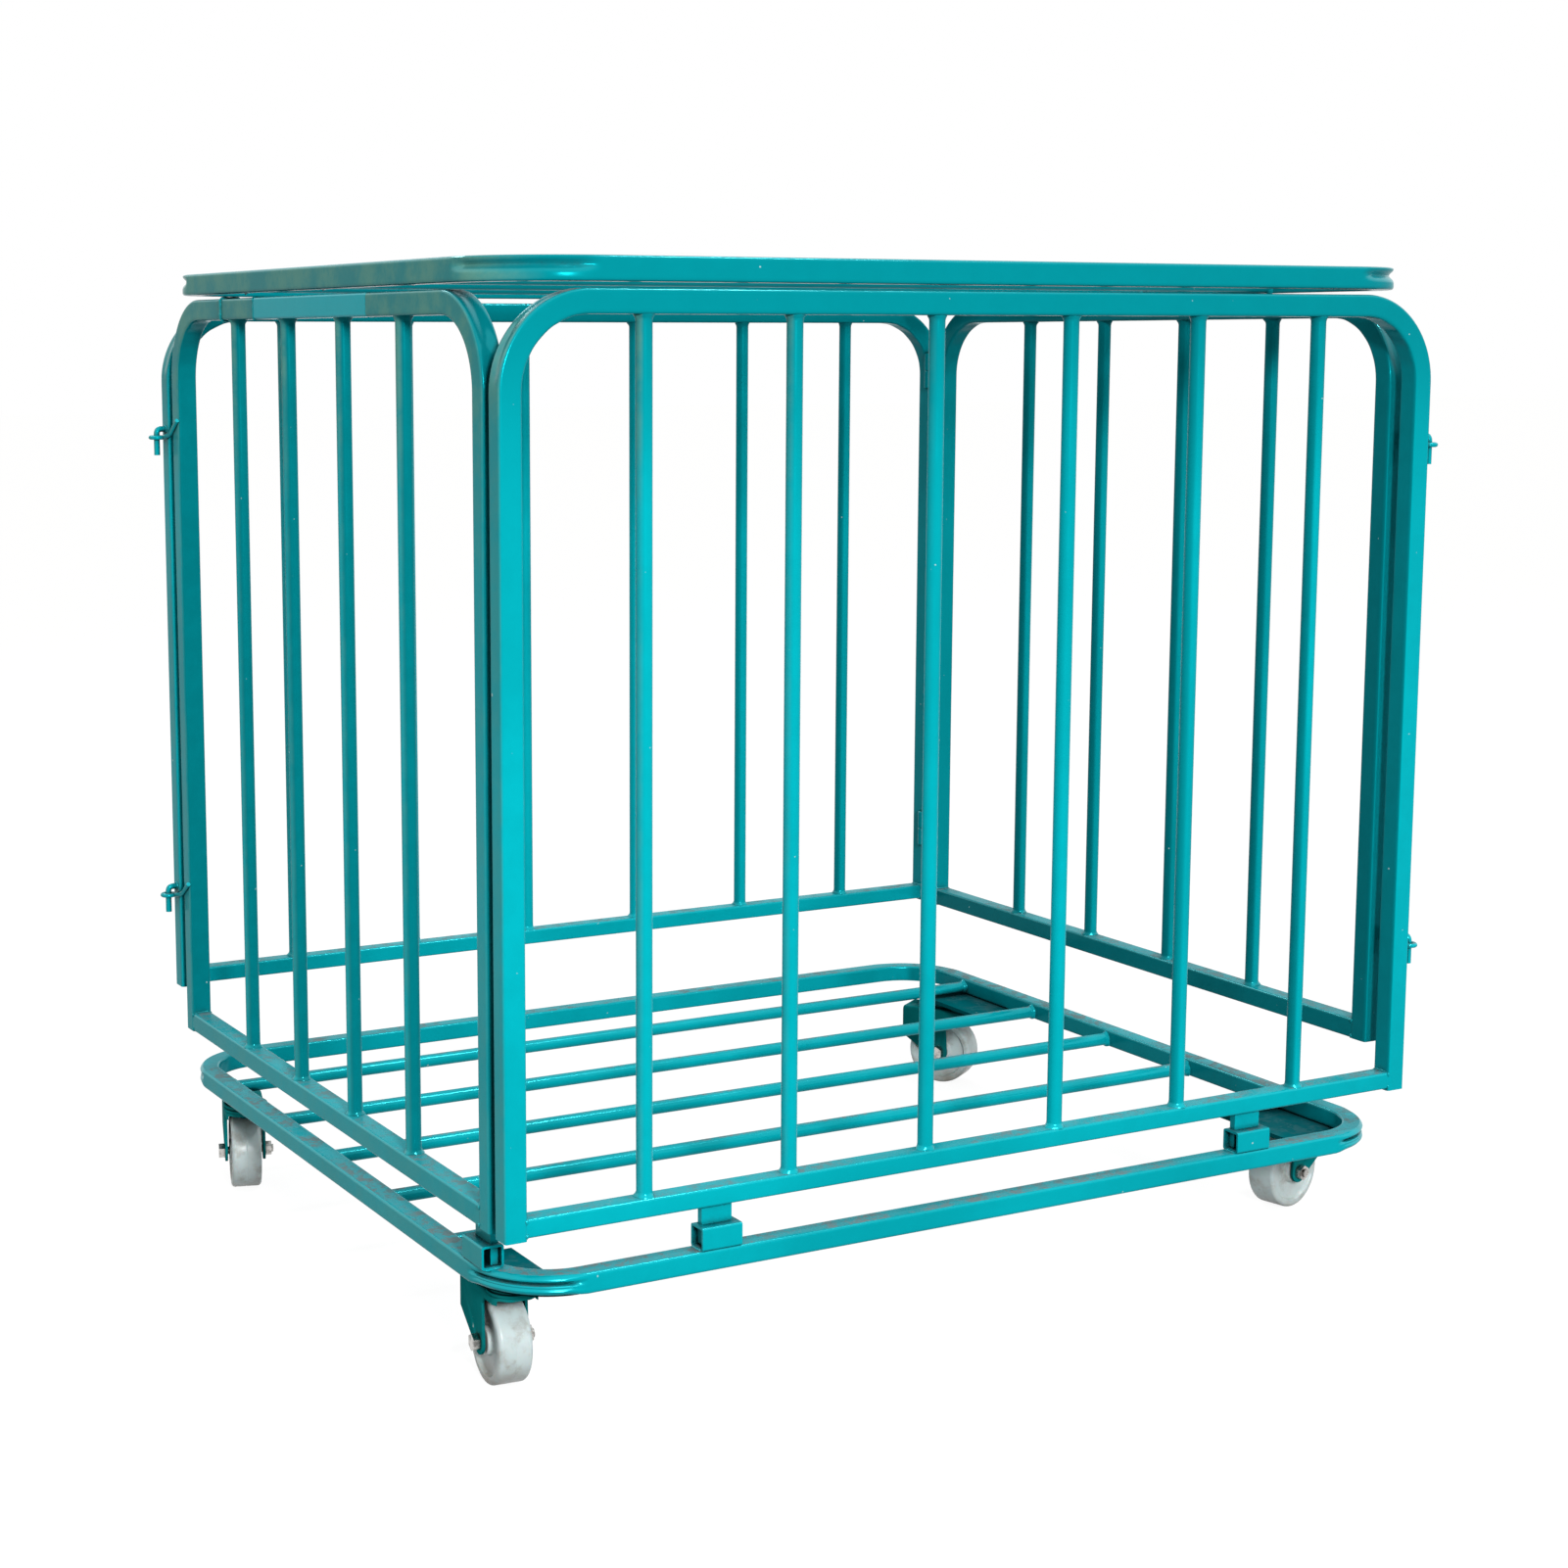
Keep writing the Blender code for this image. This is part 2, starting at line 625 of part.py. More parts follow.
def helpers_follow(piece, helpers):
    """Hang helpers on the piece that they shape, so that they turn with it."""
    bpy.context.view_layer.update()
    for helper in helpers:
        helper.parent = piece
        helper.matrix_parent_inverse = piece.matrix_world.inverted()


def knuckle(axis, low, high, leaf_low, leaf_high):
    """A hinge barrel on an upright axis with its flat leaf."""
    barrel = rod("barrel", at(axis.x, axis.y, low), at(axis.x, axis.y, high), BARREL_RADIUS)
    leaf = box("leaf", at(*leaf_low, low), at(*leaf_high, high))
    return [barrel, leaf]


def pin_bore(axis, low, high):
    """The cutter for an upright hinge barrel's bore, with one of its flats toward the leaf."""
    bore = rod("pin_bore", at(axis.x, axis.y, low - PIN_BORE_OVERRUN),
               at(axis.x, axis.y, high + PIN_BORE_OVERRUN), HINGE_PIN_RADIUS + BORE, None, PIN_SIDES)
    bore.rotation_euler.z += math.pi / PIN_SIDES
    return bore


def corner_hinges(frames):
    """Butt hinges inside the near left and far right corners.

    The lower knuckle of each is on the wide panel and the upper one on the side panel.
    """
    for level in HINGE_LEVELS.values():
        low = (level - KNUCKLE, level - GAP / 2)
        high = (level + GAP / 2, level + KNUCKLE)
        axis = NEAR_HINGE
        wide_leaf = ((axis.x - LEAF_WIDTH, TUBE - SINK), (axis.x, TUBE + LEAF_THICKNESS))
        side_leaf = ((TUBE - SINK, axis.y), (TUBE + LEAF_THICKNESS, axis.y + LEAF_WIDTH))
        mirrored_wide = turned_pair(wide_leaf)
        mirrored_side = turned_pair(side_leaf)
        join(frames["front"], knuckle(axis, *low, *wide_leaf))
        join(frames["left"], knuckle(axis, *high, *side_leaf))
        join(frames["back"], knuckle(FAR_HINGE, *low, *mirrored_wide))
        join(frames["right"], knuckle(FAR_HINGE, *high, *mirrored_side))
        cut(frames["front"], [pin_bore(axis, *low)])
        cut(frames["left"], [pin_bore(axis, *high)])
        cut(frames["back"], [pin_bore(FAR_HINGE, *low)])
        cut(frames["right"], [pin_bore(FAR_HINGE, *high)])


def turned_pair(corners):
    """The same plan rectangle turned half way round the cage's middle."""
    (x0, y0), (x1, y1) = corners
    return (CAGE_WIDTH - x1, CAGE_DEPTH - y1), (CAGE_WIDTH - x0, CAGE_DEPTH - y0)


def hinge_pin(name, axis, level, paint):
    """A hinge pin with a peened head at each end."""
    reach = KNUCKLE + GAP
    pin = rod(name, at(axis.x, axis.y, level - reach - SINK), at(axis.x, axis.y, level + reach + SINK),
              HINGE_PIN_RADIUS, paint, PIN_SIDES)
    heads = []
    for side in (-1, 1):
        near, far = level + side * reach, level + side * (reach + HINGE_PIN_HEAD)
        heads.append(rod("pin_head", at(axis.x, axis.y, near), at(axis.x, axis.y, far),
                         HINGE_PIN_HEAD_RADIUS, None, PIN_SIDES))
    join(pin, heads)
    return pin


def hooks(frames):
    """Eyes on the left and front panels with the hooked pins of the back and right panels in them."""
    for level in HOOK_LEVELS.values():
        join(frames["left"], back_eye(level))
        join(frames["front"], front_eye(level))
        join(frames["back"], [back_pin(level)])
        join(frames["right"], [front_pin(level)])


def back_eye(level):
    """The back left eye: a ring with an arm that slants down to it from the left panel's rear leg."""
    axis = BACK_HOOK
    leg_end = PANELS["left"].start + PANELS["left"].length
    lie = EYE_WELD - EYE_ROD_RADIUS
    meet = math.radians(EYE_MEET_ANGLE)
    points = [at(lie, leg_end - EYE_ARM_LENGTH, level + EYE_ARM_SLANT),
              at(lie, leg_end + EYE_ARM_REACH, level + EYE_ARM_DROP),
              at(axis.x + EYE_RADIUS * math.cos(meet), axis.y + EYE_RADIUS * math.sin(meet), level)]
    return [torus("eye", at(axis.x, axis.y, level), EYE_RADIUS, EYE_ROD_RADIUS),
            link(bent_rod("eye_arm", points, EYE_ROD_RADIUS))]


def front_eye(level):
    """The front right eye: a ring with a short arm on the front panel's right leg."""
    axis = FRONT_HOOK
    stub = rod("eye_stub", at(CAGE_WIDTH - SINK, axis.y, level), at(axis.x - EYE_RADIUS, axis.y, level),
               EYE_STUB_RADIUS)
    return [torus("eye", at(axis.x, axis.y, level), EYE_RADIUS, EYE_ROD_RADIUS), stub]


def pin_bend(axis, level, toward):
    """The hooked end of a pin rod: level toward its axis, a tight bend, and down through the eye."""
    top = level + HOOK_RISE
    ease = HOOK_BEND * BEND_EASE
    return [at(axis.x, axis.y, level - HOOK_DROP), at(axis.x, axis.y, top - HOOK_BEND),
            at(axis.x + toward[0] * ease, axis.y + toward[1] * ease, top - ease),
            at(axis.x + toward[0] * HOOK_BEND, axis.y + toward[1] * HOOK_BEND, top)]


def back_pin(level):
    """A rod out of the back panel's left leg, hooked down through the eye behind the left panel."""
    points = pin_bend(BACK_HOOK, level, (1, 0))
    points.append(at(HOOK_BITE, BACK_HOOK.y, level + HOOK_RISE))
    return link(bent_rod("hook_pin", points, HOOK_ROD_RADIUS))


def front_pin(level):
    """A rod along the right panel's front leg, hooked down through the eye on the front panel."""
    lie = CAGE_WIDTH + HOOK_ROD_RADIUS - HOOK_WELD
    leg = PANELS["right"].start
    slant = Vector((lie - FRONT_HOOK.x, leg - HOOK_BEND - FRONT_HOOK.y)).normalized()
    points = pin_bend(FRONT_HOOK, level, slant)
    points.append(at(lie, leg - HOOK_BEND, level + HOOK_RISE))
    points.append(at(lie, leg + HOOK_LAP, level + HOOK_RISE))
    return link(bent_rod("hook_pin", points, HOOK_ROD_RADIUS))


def lid(paint, back):
    """The lid's tube ring with its bars, hinged on the back panel's top rail."""
    outlines = tube_ring_outlines(CAGE_WIDTH, CAGE_DEPTH, LID_BEND_RADIUS, TUBE)
    frame = link(flat_piece("lid_frame", outlines, TUBE, at(0, 0, LID_BOTTOM + TUBE / 2), (0, 0, 0)), paint)
    pieces = [frame]
    middle = (LID_BARS - 1) / 2
    height = LID_BOTTOM + LID_BAR_LIFT + LID_BAR_DIAMETER / 2
    for count in range(LID_BARS):
        depth = CAGE_DEPTH / 2 + (count - middle) * LID_BAR_PITCH
        pieces.append(rod(f"lid_bar_{count + 1}", at(TUBE + GAP, depth, height),
                          at(CAGE_WIDTH - TUBE - GAP, depth, height), LID_BAR_DIAMETER / 2, paint))
    for across in LID_HINGES:
        lid_span = (across + GAP / 2, across + LID_KNUCKLE)
        back_span = (across - LID_KNUCKLE, across - GAP / 2)
        join(frame, lid_knuckle(lid_span, 1))
        join(back, lid_knuckle(back_span, -1))
        cut(frame, [lid_bore(lid_span)])
        cut(back, [lid_bore(back_span)])
    return pieces


def lid_axis(across):
    """A point on the lid's hinge axis."""
    return at(across, LID_AXIS_DEPTH, LID_AXIS_HEIGHT)


def lid_knuckle(span, up):
    """A level barrel behind the cage with its leaf up on the lid or down on the back panel."""
    low, high = span
    barrel = rod("lid_barrel", lid_axis(low), lid_axis(high), BARREL_RADIUS)
    heights = sorted((LID_AXIS_HEIGHT, LID_AXIS_HEIGHT + up * LID_LEAF_WIDTH))
    leaf = box("lid_leaf", at(low, CAGE_DEPTH - SINK, heights[0]),
               at(high, CAGE_DEPTH + LEAF_THICKNESS, heights[1]))
    return [barrel, leaf]


def lid_bore(span):
    """The cutter for a lid barrel's bore."""
    return rod("lid_bore", lid_axis(span[0] - PIN_BORE_OVERRUN), lid_axis(span[1] + PIN_BORE_OVERRUN),
               HINGE_PIN_RADIUS + BORE, None, PIN_SIDES)


def lid_pin(name, across, paint):
    """A lid hinge's pin with a peened head at each end."""
    reach = LID_KNUCKLE + GAP
    end = reach + HINGE_PIN_HEAD
    pin = rod(name, lid_axis(across - reach - SINK), lid_axis(across + reach + SINK), HINGE_PIN_RADIUS,
              paint, PIN_SIDES)
    heads = [rod("pin_head", lid_axis(across + side * reach), lid_axis(across + side * end),
                 HINGE_PIN_HEAD_RADIUS, None, PIN_SIDES) for side in (-1, 1)]
    join(pin, heads)
    return pin


def build():
    clear_scene()
    paints = {
        "cage": material("teal_enamel", (0.004, 0.319, 0.367), 0.32, 0.0),
        "base": material("base_enamel", (0.004, 0.290, 0.330), 0.36, 0.0),
        "caster": material("caster_enamel", (0.006, 0.200, 0.205), 0.42, 0.0),
        "wheel": material("caster_nylon", (0.620, 0.680, 0.670), 0.45, 0.0),
        "bolt": material("zinc_bolt", (0.620, 0.620, 0.600), 0.28, 1.0),
    }

    base_ring(paints["base"])
    floor_bars(paints["base"])
    for corner in CASTERS:
        corner_plate(corner, paints["base"])
        caster(corner, paints)

    pieces, frames = {}, {}
    for name, panel in PANELS.items():
        frames[name] = panel_frame(panel, paints["cage"])
        rail = panel_rail(panel, paints["cage"])
        pieces[name] = [frames[name], rail, *panel_bars(panel, paints["cage"])]
        if name == "front":
            foot = RING_TOP + SOCKET_WALL + GAP
            head = CAGE_FOOT + FRONT_RAIL_SETBACK + SINK
            join(rail, [tongue(along, 0.0, foot, head) for along in FRONT_SOCKETS])
    corner_hinges(frames)
    hooks(frames)
    pieces["lid"] = lid(paints["cage"], frames["back"])
    for side, across in zip(("left", "right"), LID_HINGES):
        pieces["back"].append(lid_pin(f"lid_hinge_pin_{side}", across, paints["caster"]))
    for level, height in HINGE_LEVELS.items():
        pieces["front"].append(hinge_pin(f"near_hinge_pin_{level}", NEAR_HINGE, height, paints["caster"]))
        pieces["back"].append(hinge_pin(f"far_hinge_pin_{level}", FAR_HINGE, height, paints["caster"]))

    front = pivot("front_panel_lift", at(CAGE_WIDTH / 2, TUBE / 2, CAGE_FOOT))
    left = pivot("left_panel_hinge", at(NEAR_HINGE.x, NEAR_HINGE.y, CAGE_FOOT), front)
    right = pivot("right_panel_hinge", at(FRONT_HOOK.x, FRONT_HOOK.y, CAGE_FOOT), front)
    back = pivot("back_panel_hinge", at(BACK_HOOK.x, BACK_HOOK.y, CAGE_FOOT), left)
    top = pivot("lid_hinge", at(CAGE_WIDTH / 2, LID_AXIS_DEPTH, LID_AXIS_HEIGHT), back)
    bodies = {"front": front, "left": left, "right": right, "back": back, "lid": top}
    for name, body in bodies.items():
        for piece in pieces[name]:
            ride(piece, body)


build()
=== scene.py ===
"""The looks of a ball basket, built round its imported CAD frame.

Four barred tube panels with a hinged lid stand on a bent tube ring with four swivel casters. Each bent
tube, bar, rail, hinge, hook, fork and wheel is rebuilt here with its rounded corners, pinched bends and
weld beads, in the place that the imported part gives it. X runs along the front, Y away from it, Z up.
"""

import json
import math

import bmesh
import bpy
from mathutils import Matrix, Vector, noise


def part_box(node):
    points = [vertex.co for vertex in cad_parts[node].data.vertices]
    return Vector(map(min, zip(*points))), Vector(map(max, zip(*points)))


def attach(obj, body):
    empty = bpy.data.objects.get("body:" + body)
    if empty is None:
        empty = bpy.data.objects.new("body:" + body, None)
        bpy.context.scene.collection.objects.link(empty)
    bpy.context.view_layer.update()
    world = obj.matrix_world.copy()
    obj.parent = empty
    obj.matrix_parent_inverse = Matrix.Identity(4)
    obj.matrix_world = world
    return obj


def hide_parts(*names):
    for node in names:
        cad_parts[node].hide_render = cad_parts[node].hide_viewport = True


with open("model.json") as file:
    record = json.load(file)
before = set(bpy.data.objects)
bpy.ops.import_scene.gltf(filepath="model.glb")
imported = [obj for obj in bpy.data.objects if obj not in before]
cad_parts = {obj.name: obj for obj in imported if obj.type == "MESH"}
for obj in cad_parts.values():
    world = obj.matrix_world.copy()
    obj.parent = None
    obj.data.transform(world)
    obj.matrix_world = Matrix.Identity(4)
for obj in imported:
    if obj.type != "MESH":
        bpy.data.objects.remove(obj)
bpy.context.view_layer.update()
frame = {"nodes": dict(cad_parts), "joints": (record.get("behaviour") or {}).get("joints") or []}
JOINTS = {joint["name"]: joint for joint in frame["joints"]}
UP = Vector((0, 0, 1))

# The camera, fitted to the cage's edges in the photograph
CAMERA_PLACE = Vector((-1.3523, -2.2456, 0.8617))
CAMERA_YAW = 27.907
CAMERA_PITCH = -8.06
CAMERA_ROLL = -0.087
IMAGE_SIDE = 1601
FOCAL_PIXELS = 2721.3
PRINCIPAL_PIXEL = (633.9, 735.0)
SENSOR = 36.0

# Tubes
TUBE = 0.020
TUBE_CORNER = 0.0024
GAP = 0.0003
SLAB_EASE = 0.0006
PANEL_BEND = 0.080
LID_BEND = 0.090
RING_BEND = 0.074
RING_HEIGHT = 0.018
BEND_STEPS = 22
FRONT_RAIL_HEIGHT = 0.016
SIDE_RAIL_HEIGHT = 0.019
SEAM = 0.0012

# How a bend's outer wall gives way: its hollows, each with its depth, its height from -1 at the wall's foot
# to 1 at its top, and its width in the same measure, then how far the wall's lower edge curls up
PANEL_PINCH = ([(0.0012, 0.0, 0.50)], 0.0)
LID_PINCH = ([(0.0046, 0.30, 0.34)], 0.0)
RING_PINCH = ([(0.0020, 1.00, 0.28), (0.0050, 0.20, 0.17), (0.0012, -0.28, 0.18),
               (0.0014, -1.00, 0.25)], 0.0020)
BEND_EASE = 0.15
INNER_WRINKLE = 0.0005
WRINKLES = 9

# Sockets, tongues and the rest, measured along the ring from its own left or front edge
SOCKET_LENGTH = 0.038
SOCKET_HEIGHT = 0.020
SOCKET_WALL = 0.002
SOCKET_CORNER = 0.0022
SOCKET_INNER_CORNER = 0.0010
SLOT_PLAY = 0.0004
REST_SUNK = 0.0005
FRONT_SOCKETS = (0.199, 0.767)
SIDE_SOCKET = 0.064
TONGUE_LENGTH = 0.029
TONGUE_THICKNESS = 0.007
TONGUE_SETBACK = 0.010

# Welds, and the left top rail's insert as distances along it
TACK_RADIUS = 0.0014
TACK_LENGTH = 0.0042
CROSS_BEAD = 0.0012
CROSS_BEAD_INSET = 0.002
SOCKET_BEAD = 0.0013
SOCKET_END_BEAD = 0.007
SOCKET_SIDE_BEAD = 0.016
BEAD_STEP = 0.0016
BEAD_SIDES = 8
BEAD_LUMPS = 0.55
ROUND_BEAD_LUMPS = 0.6
ROUND_BEAD_STEPS = 36
BEAD_TAPER = 0.55
TOUCHED_UP = (0.230, 0.500)
OLD_WELD = 0.590
SEAM_BEADS = (0.0009, 0.0022)
PATCH_PROUD = 0.0002

# A bar's weld collar: the stations of its skin, then how high, wide and lumpy it is
COLLAR_STATIONS = (0.0, 0.0008, 0.0016, 0.0024, 0.0034, 0.0050)
COLLAR_HEIGHT = 0.0019
COLLAR_WIDTH = 0.0026
COLLAR_LUMPS = 1.1
LUMPS_ROUND = 1.7
LUMPS_ALONG = 40
BAR_SIDES = 24

# Hinges and hooks
KNUCKLE = 0.020
LID_KNUCKLE = 0.025
BARREL = 0.0042
BARREL_EASE = 0.0005
LEAF_THICKNESS = 0.0022
LEAF_WIDTH = 0.020
LID_LEAF_WIDTH = 0.0175
LEAF_SUNK = 0.0004
HOOK_ROD = 0.0030
EYE_ROD = 0.0022
EYE_RADIUS = 0.0062
HOOK_LEVELS = (0.613, 0.138)
HOOK_DROP = 0.018
HOOK_RISE = 0.0085
HOOK_BEND = 0.005
HOOK_LAP = 0.012
HOOK_SETBACK = 0.004
HOOK_ROOT = 0.0014
HOOK_BEAD = 0.0036
HOOK_SUNK = 0.0008
EYE_MEET = Vector((0.866, -0.5, 0.0))
EYE_BEND = 0.006
EYE_TAIL = (0.020, 0.018)
EYE_ELBOW = 0.003
EYE_ROOT = 0.0005
EYE_BEAD = 0.0028
EYE_SUNK = 0.0007
FASTENING_BEAD = 0.0010

# Casters. The drops are how far the fork's outline lies under its crown, from its nose to its shoulder
WHEEL_WIDTH = 0.032
WHEEL_RADIUS = 0.0375
FORK_THICKNESS = 0.0025
FORK_REACH = 0.045
FORK_TIP = 0.011
FORK_SHOULDER = 0.008
FORK_TAPER = 0.055
FORK_CROWN = 0.088
FORK_CROWN_START = 0.0195
CROWN_NOSE = 0.0212
FORK_CLEARANCE = 0.002
FORK_DROPS = (0.0062, 0.007, 0.008, 0.014)
FORK_FOOT = 0.002
OUTER_FOLD = 0.0042
INNER_FOLD = 0.0017
FORK_EASE = 0.0005
AXLE_BORE = 0.0044
AXLE_EASE = 0.0006
WELL_PAST = 0.05
RACE_RADIUS = 0.022
RACE_GROOVE = 0.0016
RACE_TOP = 0.0959

# Corner plates with their kingpins
KINGPIN = 0.005
KINGPIN_HEAD = (0.008, 0.005)
KINGPIN_DOME = (0.002, 0.0012)
KINGPIN_EASE = 0.0004
KINGPIN_SUNK = 0.0004
PLATE_THICKNESS = 0.004
PLATE_MARGIN = 0.004
PLATE_SLOPE = 0.0115
PLATE_STEPS = 16


def srgb(red, green, blue):
    """A colour given as 0 to 255 display values, as the linear values a shader takes."""
    shares = [value / 255 for value in (red, green, blue)]
    return tuple(s / 12.92 if s <= 0.04045 else ((s + 0.055) / 1.055) ** 2.4 for s in shares)


TEAL = srgb(3, 170, 182)
RING_TEAL = srgb(3, 166, 178)
CASTER_TEAL = srgb(8, 128, 130)
SHEEN = (0.12, 0.95, 1.0)
NYLON = srgb(204, 219, 220)
ZINC = srgb(196, 194, 190)
DUST = srgb(118, 138, 141)
FILM_AND_SIDE_LIGHT = srgb(112, 166, 148)
CHIP = srgb(186, 214, 214)
GRIME = srgb(62, 64, 48)
HOLLOW_SHADE = srgb(2, 40, 44)
WHEEL_DIRT = srgb(128, 112, 92)

# The enamel's layers: how strong each is, its noise scale per metre, and the two directions or places of a
# face between which it sets in
PEARL = 0.10
TOP_SHADE = 0.62
HIGH_FILM_AND_LIGHT = 2.5
SKY_GLOSS = 0.85
INNER_SHADE = 0.5
MOTTLING = 0.18
DUST_ROUGHNESS = 0.45
DRIFT, MOTTLE, STREAKS, PATCHES, SPECKLE = 4.0, 55.0, 24.0, 15.0, 105.0
CHIPS, SMUT, POLISH, RIPPLE, PEEL = 170.0, 70.0, 18.0, 9.0, 330.0
TOP_LEVELS = (0.70, 0.90)
FILM_AND_LIGHT_FACING = (-0.45, -0.95)
FILM_AND_LIGHT_SIDE = (0.0, -0.40)
INNER_FACING = (-0.30, -0.80)
INNER_SIDE = (0.0, 0.35)
FRONT_FACING = (-0.25, -0.80)
TOP_FACING = (0.88, 0.99)
SLOPE_START = (0.12, 0.45)
SLOPE_END = (0.99, 0.85)

# The angle in degrees above which an edge shows, on plates and tubes, mouldings, round rods and weld beads
FLAT_WORK = 35.0
MOULDED_WORK = 45.0
ROUND_WORK = 50.0
BEAD_WORK = 60.0


class Nodes:
    """A node tree with short names for the nodes used most."""

    def __init__(self, owner):
        owner.use_nodes = True
        self.tree = owner.node_tree

    def feed(self, socket, value):
        """Connect another node's output, or set a plain number or colour."""
        if isinstance(value, bpy.types.NodeSocket):
            self.tree.links.new(value, socket)
        elif socket.type == "RGBA":
            socket.default_value = (*value, 1.0)
        else:
            socket.default_value = value

    def add(self, kind, output, inputs, **settings):
        """One output of a new node, whose inputs are fed by name or number."""
        node = self.tree.nodes.new(kind)
        for name, value in settings.items():
            setattr(node, name, value)
        for name, value in inputs.items():
            self.feed(node.inputs[name], value)
        return node.outputs[output]

    def maths(self, operation, first, second):
        return self.add("ShaderNodeMath", "Value", {0: first, 1: second}, operation=operation)

    def times(self, first, second):
        return self.maths("MULTIPLY", first, second)

    def mix(self, share, first, second):
        return self.add("ShaderNodeMix", 2, {"Factor": share, 6: first, 7: second}, data_type="RGBA")

    def seen_directly(self):
        """1 where a ray from the camera, a reflection or a clear piece ends, else 0."""
        path = self.tree.nodes.new("ShaderNodeLightPath").outputs
        seen = self.maths("MAXIMUM", path["Is Camera Ray"], path["Is Glossy Ray"])
        return self.maths("MAXIMUM", seen, path["Is Transmission Ray"])


class Shader(Nodes):
    """A procedural material, which can go by a face's place and direction."""

    def __init__(self, name):
        self.material = bpy.data.materials.new(name)
        super().__init__(self.material)
        self.surface = self.tree.nodes["Principled BSDF"]
        here = self.tree.nodes.new("ShaderNodeTexCoord").outputs
        self.place, self.facing = here["Object"], here["Normal"]

    def noise(self, scale, detail, roughness=0.5):
        inputs = {"Vector": self.place, "Scale": scale, "Detail": detail, "Roughness": roughness}
        return self.add("ShaderNodeTexNoise", "Fac", inputs)

    def band(self, value, low, high, start=0.0, end=1.0):
        """A value eased from start to end while another goes from low to high."""
        inputs = {"Value": value, "From Min": low, "From Max": high, "To Min": start, "To Max": end}
        return self.add("ShaderNodeMapRange", "Result", inputs, interpolation_type="SMOOTHSTEP")

    def part_of(self, vector, axis, low, high):
        """One coordinate of a vector, eased from 0 to 1 between two values."""
        return self.band(self.add("ShaderNodeSeparateXYZ", axis, {0: vector}), low, high)

    def crevice(self, reach, open_share=0.85, shut_share=0.35):
        """Near 1 in corners and joints and 0 in the open."""
        near = self.add("ShaderNodeAmbientOcclusion", "AO", {"Distance": reach}, samples=4)
        return self.band(near, open_share, shut_share)

    def bump(self, heights):
        """Chain bumps, each a height with its strength and distance."""
        below = {}
        for height, strength, distance in heights:
            inputs = {"Height": height, "Strength": strength, "Distance": distance, **below}
            below = {"Normal": self.add("ShaderNodeBump", "Normal", inputs)}
        self.paint(**below)

    def paint(self, **inputs):
        for name, value in inputs.items():
            self.feed(self.surface.inputs[name.replace("_", " ")], value)


def shade(colour, factor):
    return tuple(min(1.0, part * factor) for part in colour)


def paint_colour_and_shade(coat, colour, front):
    """The paint's own drifting colour, with painted shade toward the top, on faces turned inward and, where
    front is below 1, on faces turned forward.
    """
    drift = coat.band(coat.noise(DRIFT, 2.0), 0.35, 0.65)
    tone = coat.mix(drift, shade(colour, 0.92), shade(colour, 1.10))
    # Painted shade: darker toward the top.
    tone = coat.mix(coat.part_of(coat.place, "Z", *TOP_LEVELS), tone, shade(colour, TOP_SHADE))
    # Painted shade on the faces in the right half that turn inward, toward the cage.
    inward = coat.times(coat.part_of(coat.facing, "X", *INNER_FACING),
                        coat.part_of(coat.place, "X", *INNER_SIDE))
    tone = coat.mix(inward, tone, shade(colour, INNER_SHADE))
    # Painted shade on faces turned forward, by the factor front.
    if front < 1:
        tone = coat.mix(coat.part_of(coat.facing, "Y", *FRONT_FACING), tone, shade(colour, front))
    mottle = coat.band(coat.noise(MOTTLE, 4.0, 0.6), 0.3, 0.75)
    return coat.mix(coat.times(mottle, MOTTLING), tone, shade(colour, 0.74))


def film_and_side_light(coat, film_and_light_share):
    """How much of a streaked greenish-grey film lies on the left side's outer faces, more of it toward the
    top: partly weathering, partly painted side light.
    """
    streaks = coat.band(coat.noise(STREAKS, 5.0, 0.65), 0.36, 0.66, 0.4 * film_and_light_share, 1.25 * film_and_light_share)
    high = coat.times(coat.part_of(coat.place, "Z", *TOP_LEVELS), HIGH_FILM_AND_LIGHT)
    film_and_light_spread = coat.times(coat.part_of(coat.place, "X", *FILM_AND_LIGHT_SIDE), coat.maths("ADD", high, 1.0))
    return coat.times(coat.part_of(coat.facing, "X", *FILM_AND_LIGHT_FACING), coat.times(streaks, film_and_light_spread))


def settled_dust(coat, dustiness):
    """How much speckled dust lies in patches on the level tops."""
    speckle = coat.band(coat.noise(SPECKLE, 5.0, 0.68), 0.46, 0.56, 0.25, 1.0)
    patches = coat.band(coat.noise(PATCHES, 4.0, 0.62), 0.38, 0.58)
    settled = coat.times(coat.times(patches, speckle), dustiness)
    return coat.times(coat.part_of(coat.facing, "Z", *TOP_FACING), settled)


